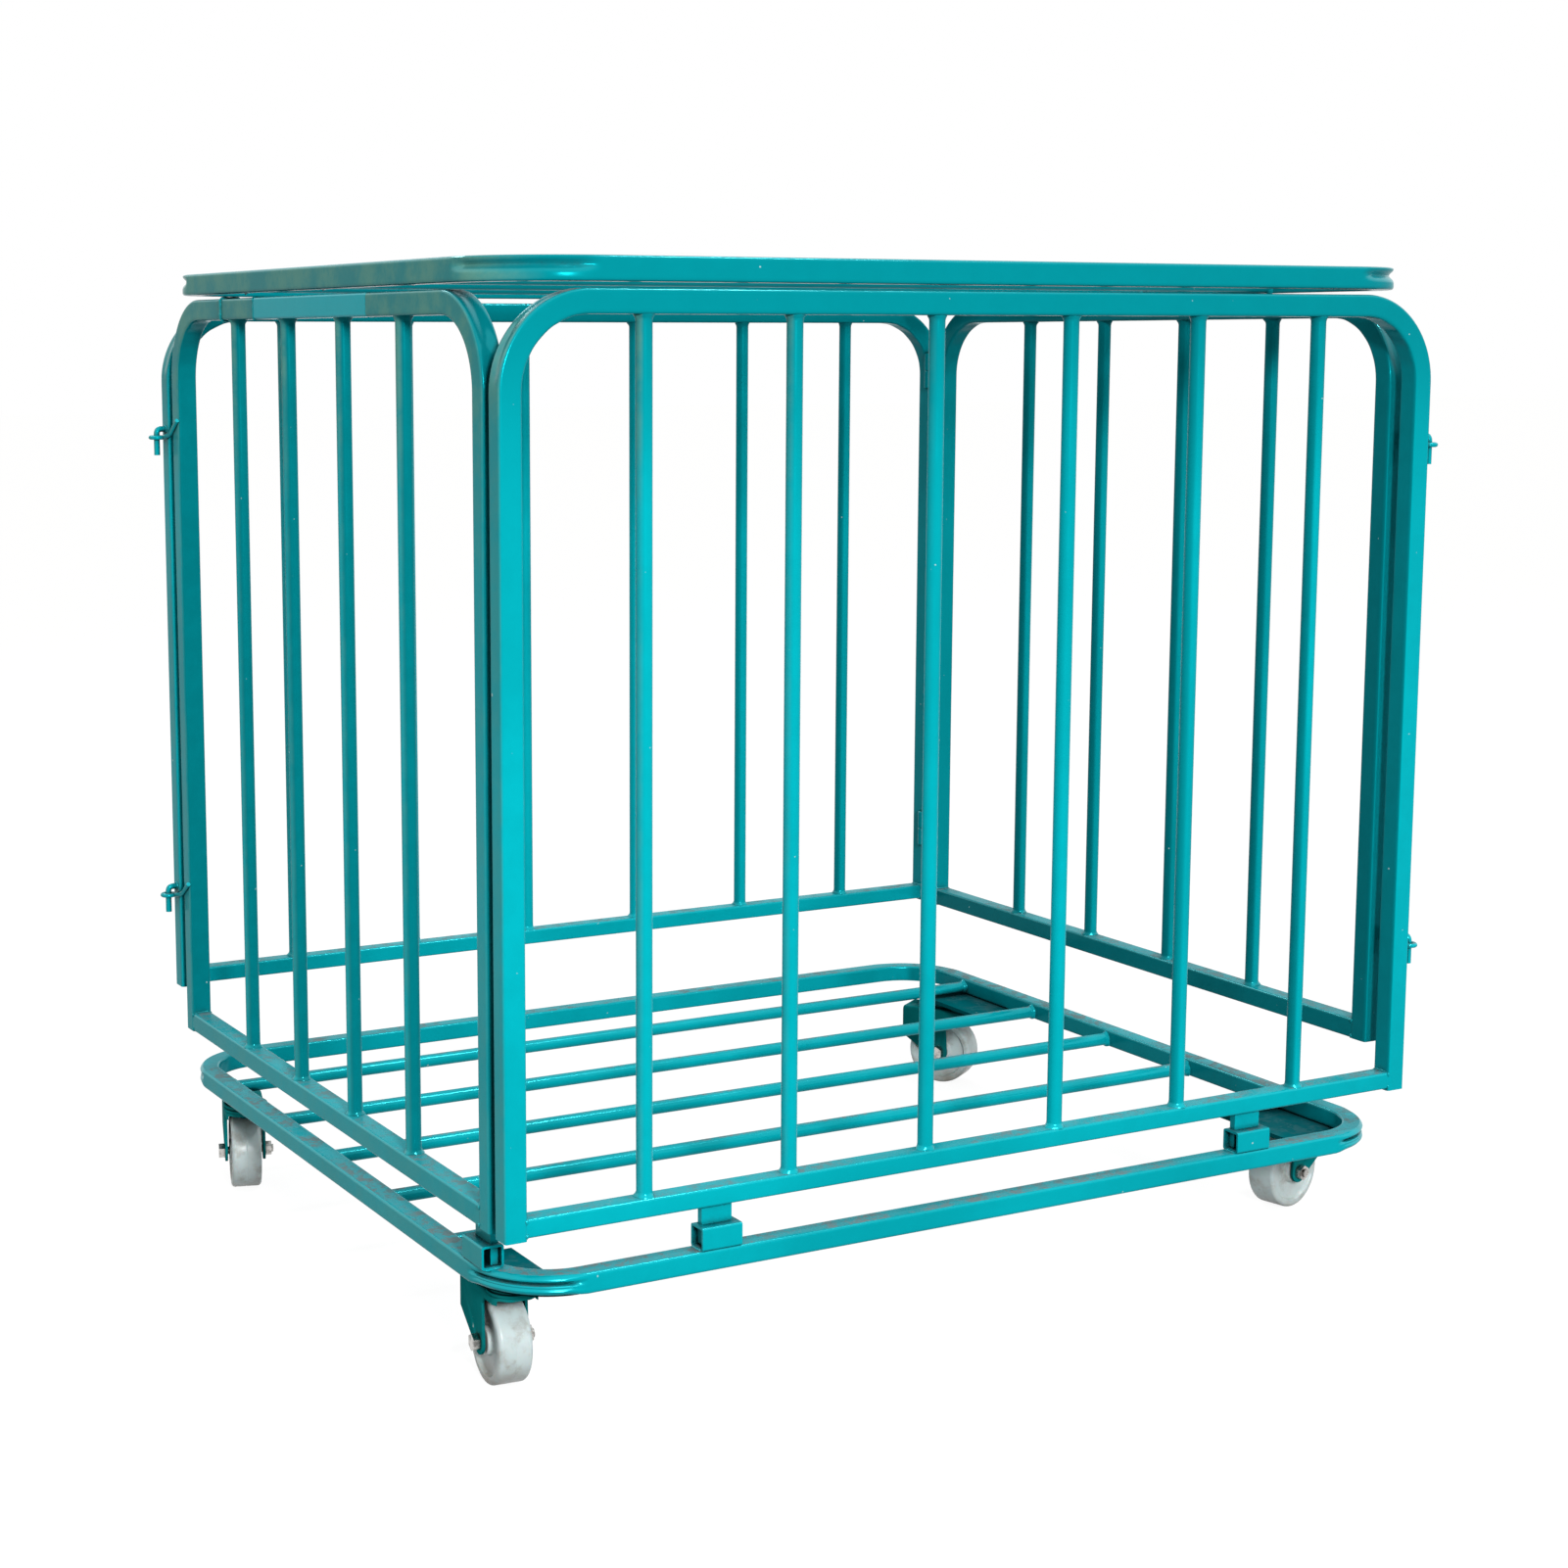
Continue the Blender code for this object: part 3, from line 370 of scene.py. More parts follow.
def enamel(name, colour, dustiness, film_and_light_share=0.17, gloss=0.03, sky=SKY_GLOSS, front=1.0):
    """Sprayed enamel with painted shade, a film of weather and painted side light, dust, chips and grime,
    shinier where it slopes upward.
    """
    coat = Shader(name)
    # The film is partly weathering and partly painted side light on the left-facing faces.
    filmed_and_side_lit = coat.mix(film_and_side_light(coat, film_and_light_share), paint_colour_and_shade(coat, colour, front), FILM_AND_SIDE_LIGHT)
    dust = settled_dust(coat, dustiness)
    dusted = coat.mix(dust, filmed_and_side_lit, DUST)
    chipped = coat.mix(coat.band(coat.noise(CHIPS, 1.0), 0.80, 0.83, 0.0, 0.85), dusted, CHIP)
    smut = coat.times(coat.crevice(0.007), coat.band(coat.noise(SMUT, 4.0, 0.6), 0.35, 0.7, 0.2, 0.85))
    grimy = coat.mix(smut, chipped, GRIME)
    sloping = coat.times(coat.part_of(coat.facing, "Z", *SLOPE_START),
                         coat.part_of(coat.facing, "Z", *SLOPE_END))
    polish = coat.band(coat.noise(POLISH, 3.0), 0.3, 0.7, 0.14, 0.26)
    # Painted shade: deep hollows and the gaps between parts are darkened.
    coat.paint(Base_Color=coat.mix(coat.crevice(0.035, 0.60, 0.20), grimy, HOLLOW_SHADE), Metallic=PEARL,
               Roughness=coat.maths("ADD", polish, coat.times(dust, DUST_ROUGHNESS)),
               Specular_IOR_Level=coat.maths("ADD", coat.times(sloping, sky), gloss), Specular_Tint=SHEEN)
    coat.bump([(coat.noise(RIPPLE, 2.0), 0.25, 0.0012), (coat.noise(PEEL, 2.0), 0.12, 0.0003)])
    return coat.material


def nylon(name):
    """Cloudy moulded nylon, scuffed, and stained where it stands and round its hub."""
    plastic = Shader(name)
    cloud = plastic.mix(plastic.band(plastic.noise(30.0, 3.0), 0.35, 0.7), NYLON, shade(NYLON, 0.86))
    stain = plastic.band(plastic.noise(60.0, 5.0, 0.65), 0.46, 0.72, 0.0, 0.45)
    foot = plastic.times(plastic.part_of(plastic.place, "Z", 0.030, 0.0),
                         plastic.band(plastic.noise(36.0, 4.0, 0.6), 0.35, 0.65, 0.15, 0.75))
    joint = plastic.times(plastic.crevice(0.008), 0.55)
    dirt = plastic.maths("MAXIMUM", plastic.maths("MAXIMUM", stain, foot), joint)
    plastic.paint(Base_Color=plastic.mix(dirt, cloud, WHEEL_DIRT),
                  Roughness=plastic.band(plastic.noise(40.0, 3.0), 0.3, 0.7, 0.30, 0.52),
                  Subsurface_Weight=0.12, Subsurface_Scale=0.006)
    plastic.bump([(plastic.noise(160.0, 4.0), 0.15, 0.0004)])
    return plastic.material


def zinc(name):
    """Bright zinc plate, scratched, and dark where dirt gathers."""
    metal = Shader(name)
    tarnish = metal.band(metal.noise(150.0, 4.0, 0.6), 0.42, 0.66, 0.0, 0.75)
    dull = metal.mix(tarnish, ZINC, shade(ZINC, 0.30))
    metal.paint(Base_Color=metal.mix(metal.crevice(0.006), dull, shade(GRIME, 0.5)), Metallic=1.0,
                Roughness=metal.band(metal.noise(200.0, 3.0), 0.3, 0.7, 0.18, 0.38))
    metal.bump([(metal.noise(500.0, 3.0), 0.3, 0.0002)])
    return metal.material


# The enamels carry dust, chips and grime together with painted shade.
MATERIALS = {
    "teal_enamel": enamel("teal_enamel_worn_and_shaded", TEAL, 0.80),
    "base_enamel": enamel("base_enamel_worn_and_shaded", RING_TEAL, 0.95),
    "caster_enamel": enamel("caster_enamel_worn_and_shaded", CASTER_TEAL, 0.3, film_and_light_share=0.04, gloss=0.0, sky=0.0),
    "caster_nylon": nylon("caster_nylon_worn"),
    "zinc_bolt": zinc("zinc_bolt_worn"),
}
# The let-in length's enamel: fresh paint, brightened further as a painted sky reflection.
FRESH_AND_SHEEN_ENAMEL = enamel("teal_enamel_touched_up_and_sheen", shade(TEAL, 1.9), 0.3, film_and_light_share=0.0, gloss=0.05)
# The side walls' enamels with painted shade: on the left wall's faces turned forward, and over the whole
# right wall.
SIDE_SHADED_FINISHES = {
    "left": enamel("teal_enamel_left_shaded", TEAL, 0.80, front=0.48),
    "right": enamel("teal_enamel_right_shaded", shade(TEAL, 0.75), 0.80),
}
# The corner plates' enamel, a darker copy as painted shade under the ring.
SHADED_ENAMEL = enamel("base_enamel_under_shaded", shade(RING_TEAL, 0.34), 0.2, film_and_light_share=0.0, gloss=0.0, sky=0.0)


# Mesh helpers


def put(name, data):
    """Add an object to the scene."""
    made = bpy.data.objects.new(name, data)
    bpy.context.scene.collection.objects.link(made)
    return made


def to_mesh(name, cage):
    """Turn a bmesh into a mesh, which uses it up."""
    mesh = bpy.data.meshes.new(name)
    cage.to_mesh(mesh)
    cage.free()
    return mesh


def mesh_object(name, cage, slot, body, nodes=(), smooth=FLAT_WORK, finish=None):
    """Turn a bmesh into a finished piece that rides on a body and stands for its CAD nodes."""
    bmesh.ops.recalc_face_normals(cage, faces=cage.faces)
    mesh = to_mesh(name, cage)
    mesh.shade_smooth()
    mesh.set_sharp_from_angle(angle=math.radians(smooth))
    mesh.materials.append(finish or MATERIALS[slot])
    piece = put(name, mesh)
    even = piece.modifiers.new("even_normals", "WEIGHTED_NORMAL")
    even.keep_sharp = True
    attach(piece, body)
    if nodes:
        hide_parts(*nodes)
    return piece


def carve(piece, tool_cage, operation):
    """Take a shape out of a piece's own mesh, or keep only what is inside it."""
    bmesh.ops.recalc_face_normals(tool_cage, faces=tool_cage.faces)
    tool = put("carving_tool", to_mesh("carving_tool", tool_cage))
    step = piece.modifiers.new("carve", "BOOLEAN")
    step.operation = operation
    step.solver = "EXACT"
    step.object = tool
    piece.modifiers.move(len(piece.modifiers) - 1, 0)
    bpy.context.view_layer.update()
    made = bpy.data.meshes.new_from_object(piece.evaluated_get(bpy.context.evaluated_depsgraph_get()))
    piece.modifiers.clear()
    piece.data = made
    bpy.data.objects.remove(tool, do_unlink=True)


def soften(piece, width):
    """Round a piece's sharp edges."""
    rounding = piece.modifiers.new("rounding", "BEVEL")
    rounding.width = width
    rounding.segments = 2
    rounding.limit_method = "ANGLE"
    rounding.angle_limit = math.radians(40)
    rounding.harden_normals = True


def turns(count):
    """Angles evenly round a circle."""
    return [2 * math.pi * k / count for k in range(count)]


def arc(centre, radius, start, end, steps=6):
    """Points along an arc, from one angle in degrees to another."""
    angles = [math.radians(start + (end - start) * k / steps) for k in range(steps + 1)]
    return [(centre[0] + radius * math.cos(t), centre[1] + radius * math.sin(t)) for t in angles]


def loft(cage, rings, closed):
    """Join rings of points into a skin, closed on itself or capped at both ends."""
    loops = [[cage.verts.new(point) for point in ring] for ring in rings]
    pairs = list(zip(loops, loops[1:] + loops[:1])) if closed else list(zip(loops, loops[1:]))
    for first, second in pairs:
        count = len(first)
        for k in range(count):
            after = (k + 1) % count
            cage.faces.new((first[k], first[after], second[after], second[k]))
    if not closed:
        cage.faces.new(loops[0][::-1])
        cage.faces.new(loops[-1])


def rounded_section(half_out, half_side, corner=TUBE_CORNER, flats=10):
    """A rounded rectangle with a few points along each flat, as (outward, sideways) pairs."""
    steps = 3
    points = []
    centres = ((1, 1), (-1, 1), (-1, -1), (1, -1))
    for quarter, (out, side) in enumerate(centres):
        middle = (out * (half_out - corner), side * (half_side - corner))
        for step in range(steps + 1):
            turn = math.radians(90 * quarter + 90 * step / steps)
            points.append((middle[0] + corner * math.cos(turn), middle[1] + corner * math.sin(turn)))
    filled = []
    for index, here in enumerate(points):
        there = points[(index + 1) % len(points)]
        filled.append(here)
        if index % (steps + 1) == steps:
            filled += [tuple(a + (b - a) * k / flats for a, b in zip(here, there)) for k in range(1, flats)]
    return filled


def ease(share):
    """Smoothly up from 0 over the first part of a bend and down over the last."""
    rise = min(1.0, min(share, 1 - share) / BEND_EASE)
    return rise * rise * (3 - 2 * rise)


def bent_path(corners, radius, closed):
    """Stations along a line with right-angled bends: point, outward direction, how far into a bend."""
    count = len(corners)
    stations = []
    for k in range(count) if closed else range(1, count - 1):
        corner = Vector(corners[k])
        arrive = (corner - Vector(corners[k - 1])).normalized()
        leave = (Vector(corners[(k + 1) % count]) - corner).normalized()
        middle = corner + (leave - arrive) * radius
        for step in range(BEND_STEPS + 1):
            share = step / BEND_STEPS
            turn = math.pi / 2 * share
            outward = arrive * math.sin(turn) - leave * math.cos(turn)
            stations.append((middle + outward * radius, outward, share))
    if not closed:
        stations.insert(0, (Vector(corners[0]), stations[0][1], 0.0))
        stations.append((Vector(corners[-1]), stations[-1][1], 0.0))
    return stations


def pinched(out, side, half_out, half_side, share, pinch):
    """Where a section's point goes in a bend: the outer wall sinks and its lower edge curls up."""
    hollows, lift = pinch
    depth = ease(share)
    height = side / half_side
    if out > 0:
        wall = (out / half_out) ** 2
        sunk = sum(sink * math.exp(-((height - level) / width) ** 2) for sink, level, width in hollows)
        out -= wall * depth * sunk
        side += wall * depth * lift * max(0.0, -height)
    elif out < -0.9 * half_out:
        out -= depth * INNER_WRINKLE * math.sin(share * math.pi * WRINKLES) * (1 - height * height)
    return out, side


def bent_tube(cage, corners, bend, height, pinch, closed, to_world, side_way):
    """A bent box tube along a flat line, with the pinch of its bends."""
    half_out, half_side = TUBE / 2, height / 2
    section = rounded_section(half_out, half_side)
    rings = []
    for point, outward, share in bent_path(corners, bend - half_out, closed):
        centre = to_world(point)
        out_way = to_world(point + outward) - centre
        ring = []
        for out, side in section:
            out, side = pinched(out, side, half_out, half_side, share, pinch)
            ring.append(centre + out_way * out + side_way * side)
        rings.append(ring)
    loft(cage, rings, closed)


def bent_ring(name, node, slot, body, outline, levels, bend, pinch):
    """A level tube bent round the four corners of an outline: its left, right, near and far sides."""
    half = TUBE / 2
    left, right, near, far = (side + inset for side, inset in zip(outline, (half, -half, half, -half)))
    bottom, top = levels
    cage = bmesh.new()
    bent_tube(cage, [(left, near), (right, near), (right, far), (left, far)], bend, top - bottom, pinch,
              True, lambda p: Vector((p[0], p[1], (bottom + top) / 2)), UP)
    mesh_object(name, cage, slot, body, [node])


def box_tube(cage, start, end, half_side, half_up):
    """A straight level box tube between two points, with rounded long edges and closed ends."""
    side = (end - start).normalized().cross(UP)
    section = rounded_section(half_side, half_up, flats=1)
    loft(cage, [[place + side * out + UP * rise for out, rise in section] for place in (start, end)], False)


def slab(cage, low, high):
    """A flat plate or block between two corners, with its edges eased."""
    low, high = Vector(low), Vector(high)
    made = bmesh.ops.create_cube(cage, size=1.0)["verts"]
    bmesh.ops.scale(cage, vec=high - low, verts=made)
    bmesh.ops.translate(cage, vec=(low + high) / 2, verts=made)
    edges = list({edge for vert in made for edge in vert.link_edges})
    bmesh.ops.bevel(cage, geom=edges, offset=SLAB_EASE, segments=2, affect="EDGES", profile=0.5)


def lathe(cage, profile, place, along, sides):
    """Turn (distance, radius) pairs about a line through place, closed on the line at both ends."""
    along = Vector(along).normalized()
    first = along.orthogonal().normalized()
    second = along.cross(first)
    rings = []
    for reach, radius in profile:
        rings.append([place + along * reach + (first * math.cos(t) + second * math.sin(t)) * radius
                      for t in turns(sides)])
    loft(cage, rings, False)


def round_rod(cage, points, radius, sides=12, closed=False, rough=0.0, seed=0):
    """A round rod along a chain of points, lumpy where it is a weld bead."""
    points = [Vector(point) for point in points]
    count = len(points)
    rings = []
    across = None
    for k, point in enumerate(points):
        before = points[k - 1] if closed or k else point
        after = points[(k + 1) % count] if closed or k < count - 1 else point
        way = (after - before).normalized()
        across = way.orthogonal() if across is None else across - way * across.dot(way)
        across = across.normalized()
        other = way.cross(across)
        swell = 1 + rough * noise.noise(Vector((k * 0.9, seed * 3.7, 0.5)))
        taper = BEAD_TAPER if rough and not closed and k in (0, count - 1) else 1.0
        rings.append([point + (across * math.cos(t) + other * math.sin(t)) * radius * swell * taper
                      for t in turns(sides)])
    loft(cage, rings, closed)


def smooth_chain(points, radius):
    """Points along a chain of straight runs with its corners rounded off."""
    steps = 6
    points = [Vector(point) for point in points]
    line = [points[0]]
    for before, corner, after in zip(points, points[1:], points[2:]):
        start = corner + (before - corner).normalized() * min(radius, (before - corner).length * 0.45)
        end = corner + (after - corner).normalized() * min(radius, (after - corner).length * 0.45)
        for step in range(steps + 1):
            t = step / steps
            line.append(start * (1 - t) ** 2 + corner * 2 * t * (1 - t) + end * t * t)
    return line + [points[-1]]


def bead_line(cage, start, end, radius, seed):
    """A weld bead along a straight seam."""
    steps = max(3, round((end - start).length / BEAD_STEP))
    points = [start.lerp(end, k / steps) for k in range(steps + 1)]
    round_rod(cage, points, radius, BEAD_SIDES, rough=BEAD_LUMPS, seed=seed)


def bead_round(cage, centre, reach, seed):
    """A weld bead round a rod that runs along X into a tube's side."""
    points = [centre + Vector((0, math.cos(t), math.sin(t))) * reach for t in turns(ROUND_BEAD_STEPS)]
    round_rod(cage, points, FASTENING_BEAD, BEAD_SIDES, closed=True, rough=ROUND_BEAD_LUMPS, seed=seed)


# Panels


def bars_of(owner):
    """The names of one part's bars in the CAD."""
    return sorted(node for node in frame["nodes"] if node.startswith(f"{owner}_bar_"))


class Panel:
    """One wall of the cage, placed by the CAD's rail and bars."""

    def __init__(self, name):
        self.name = name
        self.body = f"{name}_panel"
        self.finish = SIDE_SHADED_FINISHES.get(name)
        low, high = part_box(f"{name}_bottom_rail")
        self.along = 0 if high.x - low.x > high.y - low.y else 1
        self.across = 1 - self.along
        self.start = low[self.along] - GAP - TUBE
        self.end = high[self.along] + GAP + TUBE
        self.near = low[self.across] - GAP
        self.rail_top = high.z
        self.rail_height = FRONT_RAIL_HEIGHT if self.along == 0 else SIDE_RAIL_HEIGHT
        self.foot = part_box(f"{name}_frame")[0].z
        self.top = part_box(f"{name}_bar_1")[1].z + GAP + TUBE
        self.side_way = Vector((0.0, 0.0, 0.0))
        self.side_way[self.across] = 1.0

    def point(self, along, across, height):
        place = Vector((0.0, 0.0, height))
        place[self.along] = along
        place[self.across] = self.near + across
        return place


PANELS = {name: Panel(name) for name in ("front", "left", "back", "right")}


def panel_frame(panel):
    """The bent tube of one wall."""
    half = TUBE / 2
    low, high = panel.start + half, panel.end - half
    corners = [(low, panel.foot), (low, panel.top - half), (high, panel.top - half), (high, panel.foot)]
    cage = bmesh.new()
    bent_tube(cage, corners, PANEL_BEND, TUBE, PANEL_PINCH, False,
              lambda p: panel.point(p[0], half, p[1]), panel.side_way)
    mesh_object(f"{panel.name}_tube", cage, "teal_enamel", panel.body, [f"{panel.name}_frame"],
                finish=panel.finish)


def panel_rail(panel):
    """The rail between a wall's legs, with the front one's tongues."""
    cage = bmesh.new()
    half = TUBE / 2
    middle = panel.rail_top - panel.rail_height / 2
    reach = TUBE - SEAM
    ends = [panel.point(along, half, middle) for along in (panel.start + reach, panel.end - reach)]
    box_tube(cage, *ends, half - GAP, panel.rail_height / 2)
    if panel.name == "front":
        for along in FRONT_SOCKETS:
            tongue(cage, RING_LOW.x + along, RING_LOW.y, 0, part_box("front_bottom_rail")[0].z, middle)
    mesh_object(f"{panel.name}_rail", cage, "teal_enamel", panel.body, [f"{panel.name}_bottom_rail"],
                finish=panel.finish)


def tongue(cage, along, across, axis, foot, head):
    """A flat tongue standing in a socket."""
    low, high = Vector((0, 0, foot)), Vector((0, 0, head))
    low[axis], high[axis] = along - TONGUE_LENGTH / 2, along + TONGUE_LENGTH / 2
    low[1 - axis] = across + TONGUE_SETBACK
    high[1 - axis] = across + TONGUE_SETBACK + TONGUE_THICKNESS
    slab(cage, low, high)


def round_bar(node, body, slot, finish=None):
    """A round bar between two tubes, with a lumpy weld collar at each end."""
    low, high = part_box(node)
    span = high - low
    axis = max(range(3), key=lambda k: span[k])
    first, second = (k for k in range(3) if k != axis)
    radius = span[first] / 2
    centre = (low + high) / 2
    length = span[axis] + 4 * GAP
    stations = [*COLLAR_STATIONS, length / 2, *(length - reach for reach in reversed(COLLAR_STATIONS))]
    seed = sum(map(ord, node)) * 0.37
    rings = []
    for reach in stations:
        from_end = min(reach, length - reach)
        ring = []
        for turn in turns(BAR_SIDES):
            round_x, round_y = math.cos(turn), math.sin(turn)
            spot = Vector((round_x * LUMPS_ROUND, round_y * LUMPS_ROUND, seed + reach * LUMPS_ALONG))
            lumps = 1 + COLLAR_LUMPS * noise.noise(spot)
            collar = COLLAR_HEIGHT * math.exp(-(from_end / COLLAR_WIDTH) ** 2) * lumps
            place = centre.copy()
            place[axis] = low[axis] - 2 * GAP + reach
            place[first] += (radius + collar) * round_x
            place[second] += (radius + collar) * round_y
            ring.append(place)
        rings.append(ring)
    cage = bmesh.new()
    loft(cage, rings, False)
    mesh_object(f"{node}_welded", cage, slot, body, [node], ROUND_WORK, finish)


def rail_welds(panel):
    """Tacks at the ends of each upright seam between a rail and a leg, and beads under and over it."""
    cage = bmesh.new()
    top, bottom = panel.rail_top, panel.rail_top - panel.rail_height
    for seed, along in enumerate((panel.start + TUBE - SEAM / 2, panel.end - TUBE + SEAM / 2)):
        for across in (TACK_RADIUS / 2, TUBE - TACK_RADIUS / 2):
            for height in (bottom + TACK_LENGTH, top):
                foot, head = (panel.point(along, across, z) for z in (height - TACK_LENGTH, height))
                bead_line(cage, foot, head, TACK_RADIUS, seed + across * 100 + height)
        for height in (bottom, top):
            near, far = (panel.point(along, across, height)
                         for across in (CROSS_BEAD_INSET, TUBE - CROSS_BEAD_INSET))
            bead_line(cage, near, far, CROSS_BEAD, seed + 7)
    mesh_object(f"{panel.name}_rail_welds", cage, "teal_enamel", panel.body, [], BEAD_WORK, panel.finish)


def touched_up_rail():
    """The length of the left wall's top rail that was let in later, with its seams."""
    left = PANELS["left"]
    half = TUBE / 2
    middle = left.top - half
    start, end = (left.start + reach for reach in TOUCHED_UP)
    cage = bmesh.new()
    box_tube(cage, left.point(start, half, middle), left.point(end, half, middle), half + PATCH_PROUD,
             half + PATCH_PROUD)
    mesh_object("left_rail_insert", cage, "teal_enamel", left.body, finish=FRESH_AND_SHEEN_ENAMEL)
    seams = bmesh.new()
    for seed, (along, radius) in enumerate(zip((end + SEAM, left.start + OLD_WELD), SEAM_BEADS)):
        corners = [(0, -half), (0, half), (TUBE, half), (TUBE, -half)]
        ring = [left.point(along, across, middle + rise) for across, rise in corners]
        for first, second in zip(ring, ring[1:] + ring[:1]):
            bead_line(seams, first, second, radius, seed * 5)
    mesh_object("left_rail_seams", seams, "teal_enamel", left.body, [], BEAD_WORK)


def knuckle(name, body, node, start, end, low, high):
    """Half a hinge: a round barrel with eased ends, and the leaf between two corners."""
    length, face = (end - start).length, BARREL - BARREL_EASE
    cage = bmesh.new()
    lathe(cage, [(0, face), (BARREL_EASE, BARREL), (length - BARREL_EASE, BARREL), (length, face)],
          start, end - start, 24)
    slab(cage, low, high)
    mesh_object(f"{name}_knuckle", cage, "teal_enamel", body, [node])


def butt_hinge(pin_node, wide, side):
    """A corner hinge: its lower half on the wide wall, its upper half on the side wall."""
    low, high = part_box(pin_node)
    axis = (low + high) / 2
    out_wide = 1 if axis.y > wide.near else -1
    out_side = 1 if axis.x > side.near else -1
    wide_face = wide.near + (TUBE if out_wide > 0 else 0.0)
    side_face = side.near + (TUBE if out_side > 0 else 0.0)
    wide_leaf = (sorted((axis.x, axis.x - out_side * LEAF_WIDTH)),
                 sorted((wide_face - out_wide * LEAF_SUNK, wide_face + out_wide * LEAF_THICKNESS)))
    side_leaf = (sorted((side_face - out_side * LEAF_SUNK, side_face + out_side * LEAF_THICKNESS)),
                 sorted((axis.y, axis.y + out_wide * LEAF_WIDTH)))
    for name, wall, (bottom, top), ((left, right), (near, far)) in (
            ("lower", wide, (axis.z - KNUCKLE, axis.z - GAP), wide_leaf),
            ("upper", side, (axis.z, axis.z + KNUCKLE), side_leaf)):
        knuckle(f"{pin_node}_{name}", wall.body, f"{wall.name}_frame", Vector((axis.x, axis.y, bottom)),
                Vector((axis.x, axis.y, top)), (left, near, bottom), (right, far, top))


def eye(cage, axis, level):
    """The ring of an eye, lying level round the hook's pin."""
    centre = Vector((axis.x, axis.y, level))
    points = [centre + Vector((math.cos(t), math.sin(t), 0)) * EYE_RADIUS for t in turns(28)]
    round_rod(cage, points, EYE_ROD, closed=True)


def left_eye(cage, axis, level):
    """An eye whose tail bends up along the left wall's outside."""
    left = PANELS["left"]
    eye(cage, axis, level)
    lie = left.near - EYE_ROD + EYE_SUNK
    back, rise = EYE_TAIL
    meet = Vector((axis.x, axis.y, level)) + EYE_MEET * EYE_RADIUS
    tail = [(lie, left.end - back, level + rise), (lie, left.end + EYE_ELBOW, level + EYE_ELBOW), meet]
    round_rod(cage, smooth_chain(tail, EYE_BEND), EYE_ROD)


def front_eye(cage, axis, level, seed):
    """An eye on a straight tail welded to the front wall's end."""
    end = PANELS["front"].end
    eye(cage, axis, level)
    round_rod(cage, [(end - EYE_ROOT, axis.y, level), (axis.x - EYE_RADIUS, axis.y, level)], EYE_ROD)
    bead_round(cage, Vector((end, axis.y, level)), EYE_BEAD, seed)


def hooked_pin(cage, axis, level, *tail):
    """A pin that hangs in an eye, bent over at its top into a tail."""
    points = [(axis.x, axis.y, level - HOOK_DROP), (axis.x, axis.y, level + HOOK_RISE), *tail]
    round_rod(cage, smooth_chain(points, HOOK_BEND), HOOK_ROD)


def back_hook(cage, axis, level, seed):
    """The hook in the left eye, welded to the back wall's end."""
    start, top = PANELS["back"].start, level + HOOK_RISE
    hooked_pin(cage, axis, level, (start + HOOK_ROOT, axis.y, top))
    bead_round(cage, Vector((start, axis.y, top)), HOOK_BEAD, seed)


def right_hook(cage, axis, level):
    """The hook in the front eye, whose tail runs back along the right wall's outside."""
    right, top = PANELS["right"], level + HOOK_RISE
    lie = right.near + TUBE + HOOK_ROD - HOOK_SUNK
    tail = [(lie, right.start + reach, top) for reach in (-HOOK_SETBACK, HOOK_LAP)]
    hooked_pin(cage, axis, level, *tail)


def hooks():
    """The eyes on the left and front walls, and the hooked pins of the back and right walls in them."""
    back_axis = Vector(JOINTS["back_panel_fold"]["pos_m"])
    front_axis = Vector(JOINTS["right_panel_fold"]["pos_m"])
    cages = {name: bmesh.new() for name in PANELS}
    for height in HOOK_LEVELS:
        level = PANELS["front"].foot + height
        left_eye(cages["left"], back_axis, level)
        front_eye(cages["front"], front_axis, level, height)
        back_hook(cages["back"], back_axis, level, height + 3)
        right_hook(cages["right"], front_axis, level)
    for name, cage in cages.items():
        mesh_object(f"{name}_hook_parts", cage, "teal_enamel", PANELS[name].body, [f"{name}_frame"],
                    ROUND_WORK)


# Lid


def lid():
    """The lid's bent ring with its bars and the knuckles of its two hinges."""
    front = PANELS["front"]
    far = PANELS["back"].near + TUBE
    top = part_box("lid_frame")[1].z
    bent_ring("lid_tube", "lid_frame", "teal_enamel", "lid", (front.start, front.end, front.near, far),
              (top - TUBE, top), LID_BEND, LID_PINCH)
    for bar in bars_of("lid"):
        round_bar(bar, "lid", "teal_enamel")
    for side in ("left", "right"):
        lid_hinge(f"lid_hinge_pin_{side}", far)


def lid_hinge(pin, far):
    """A lid hinge: one half with its leaf up on the lid, the other down on the back wall."""
    low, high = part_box(pin)
    axis = (low + high) / 2
    for name, body, node, way in (("lid", "lid", "lid_frame", 1), ("wall", "back_panel", "back_frame", -1)):
        ends = sorted((axis.x + way * GAP / 2, axis.x + way * LID_KNUCKLE))
        heights = sorted((axis.z, axis.z + way * LID_LEAF_WIDTH))
        knuckle(f"{pin}_{name}", body, node, *(Vector((x, axis.y, axis.z)) for x in ends),
                (ends[0], far - LEAF_SUNK, heights[0]), (ends[1], far + LEAF_THICKNESS, heights[1]))


# Base ring


RING_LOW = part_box("base_ring")[0]
RING_HIGH = Vector((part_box("base_ring")[1].x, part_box("base_ring")[1].y, RING_LOW.z + RING_HEIGHT))


def base_ring():
    """The ring, one tube bent round four corners."""
    bent_ring("ring_tube", "base_ring", "base_enamel", "base",
              (RING_LOW.x, RING_HIGH.x, RING_LOW.y, RING_HIGH.y), (RING_LOW.z, RING_LOW.z + RING_HEIGHT),
              RING_BEND, RING_PINCH)


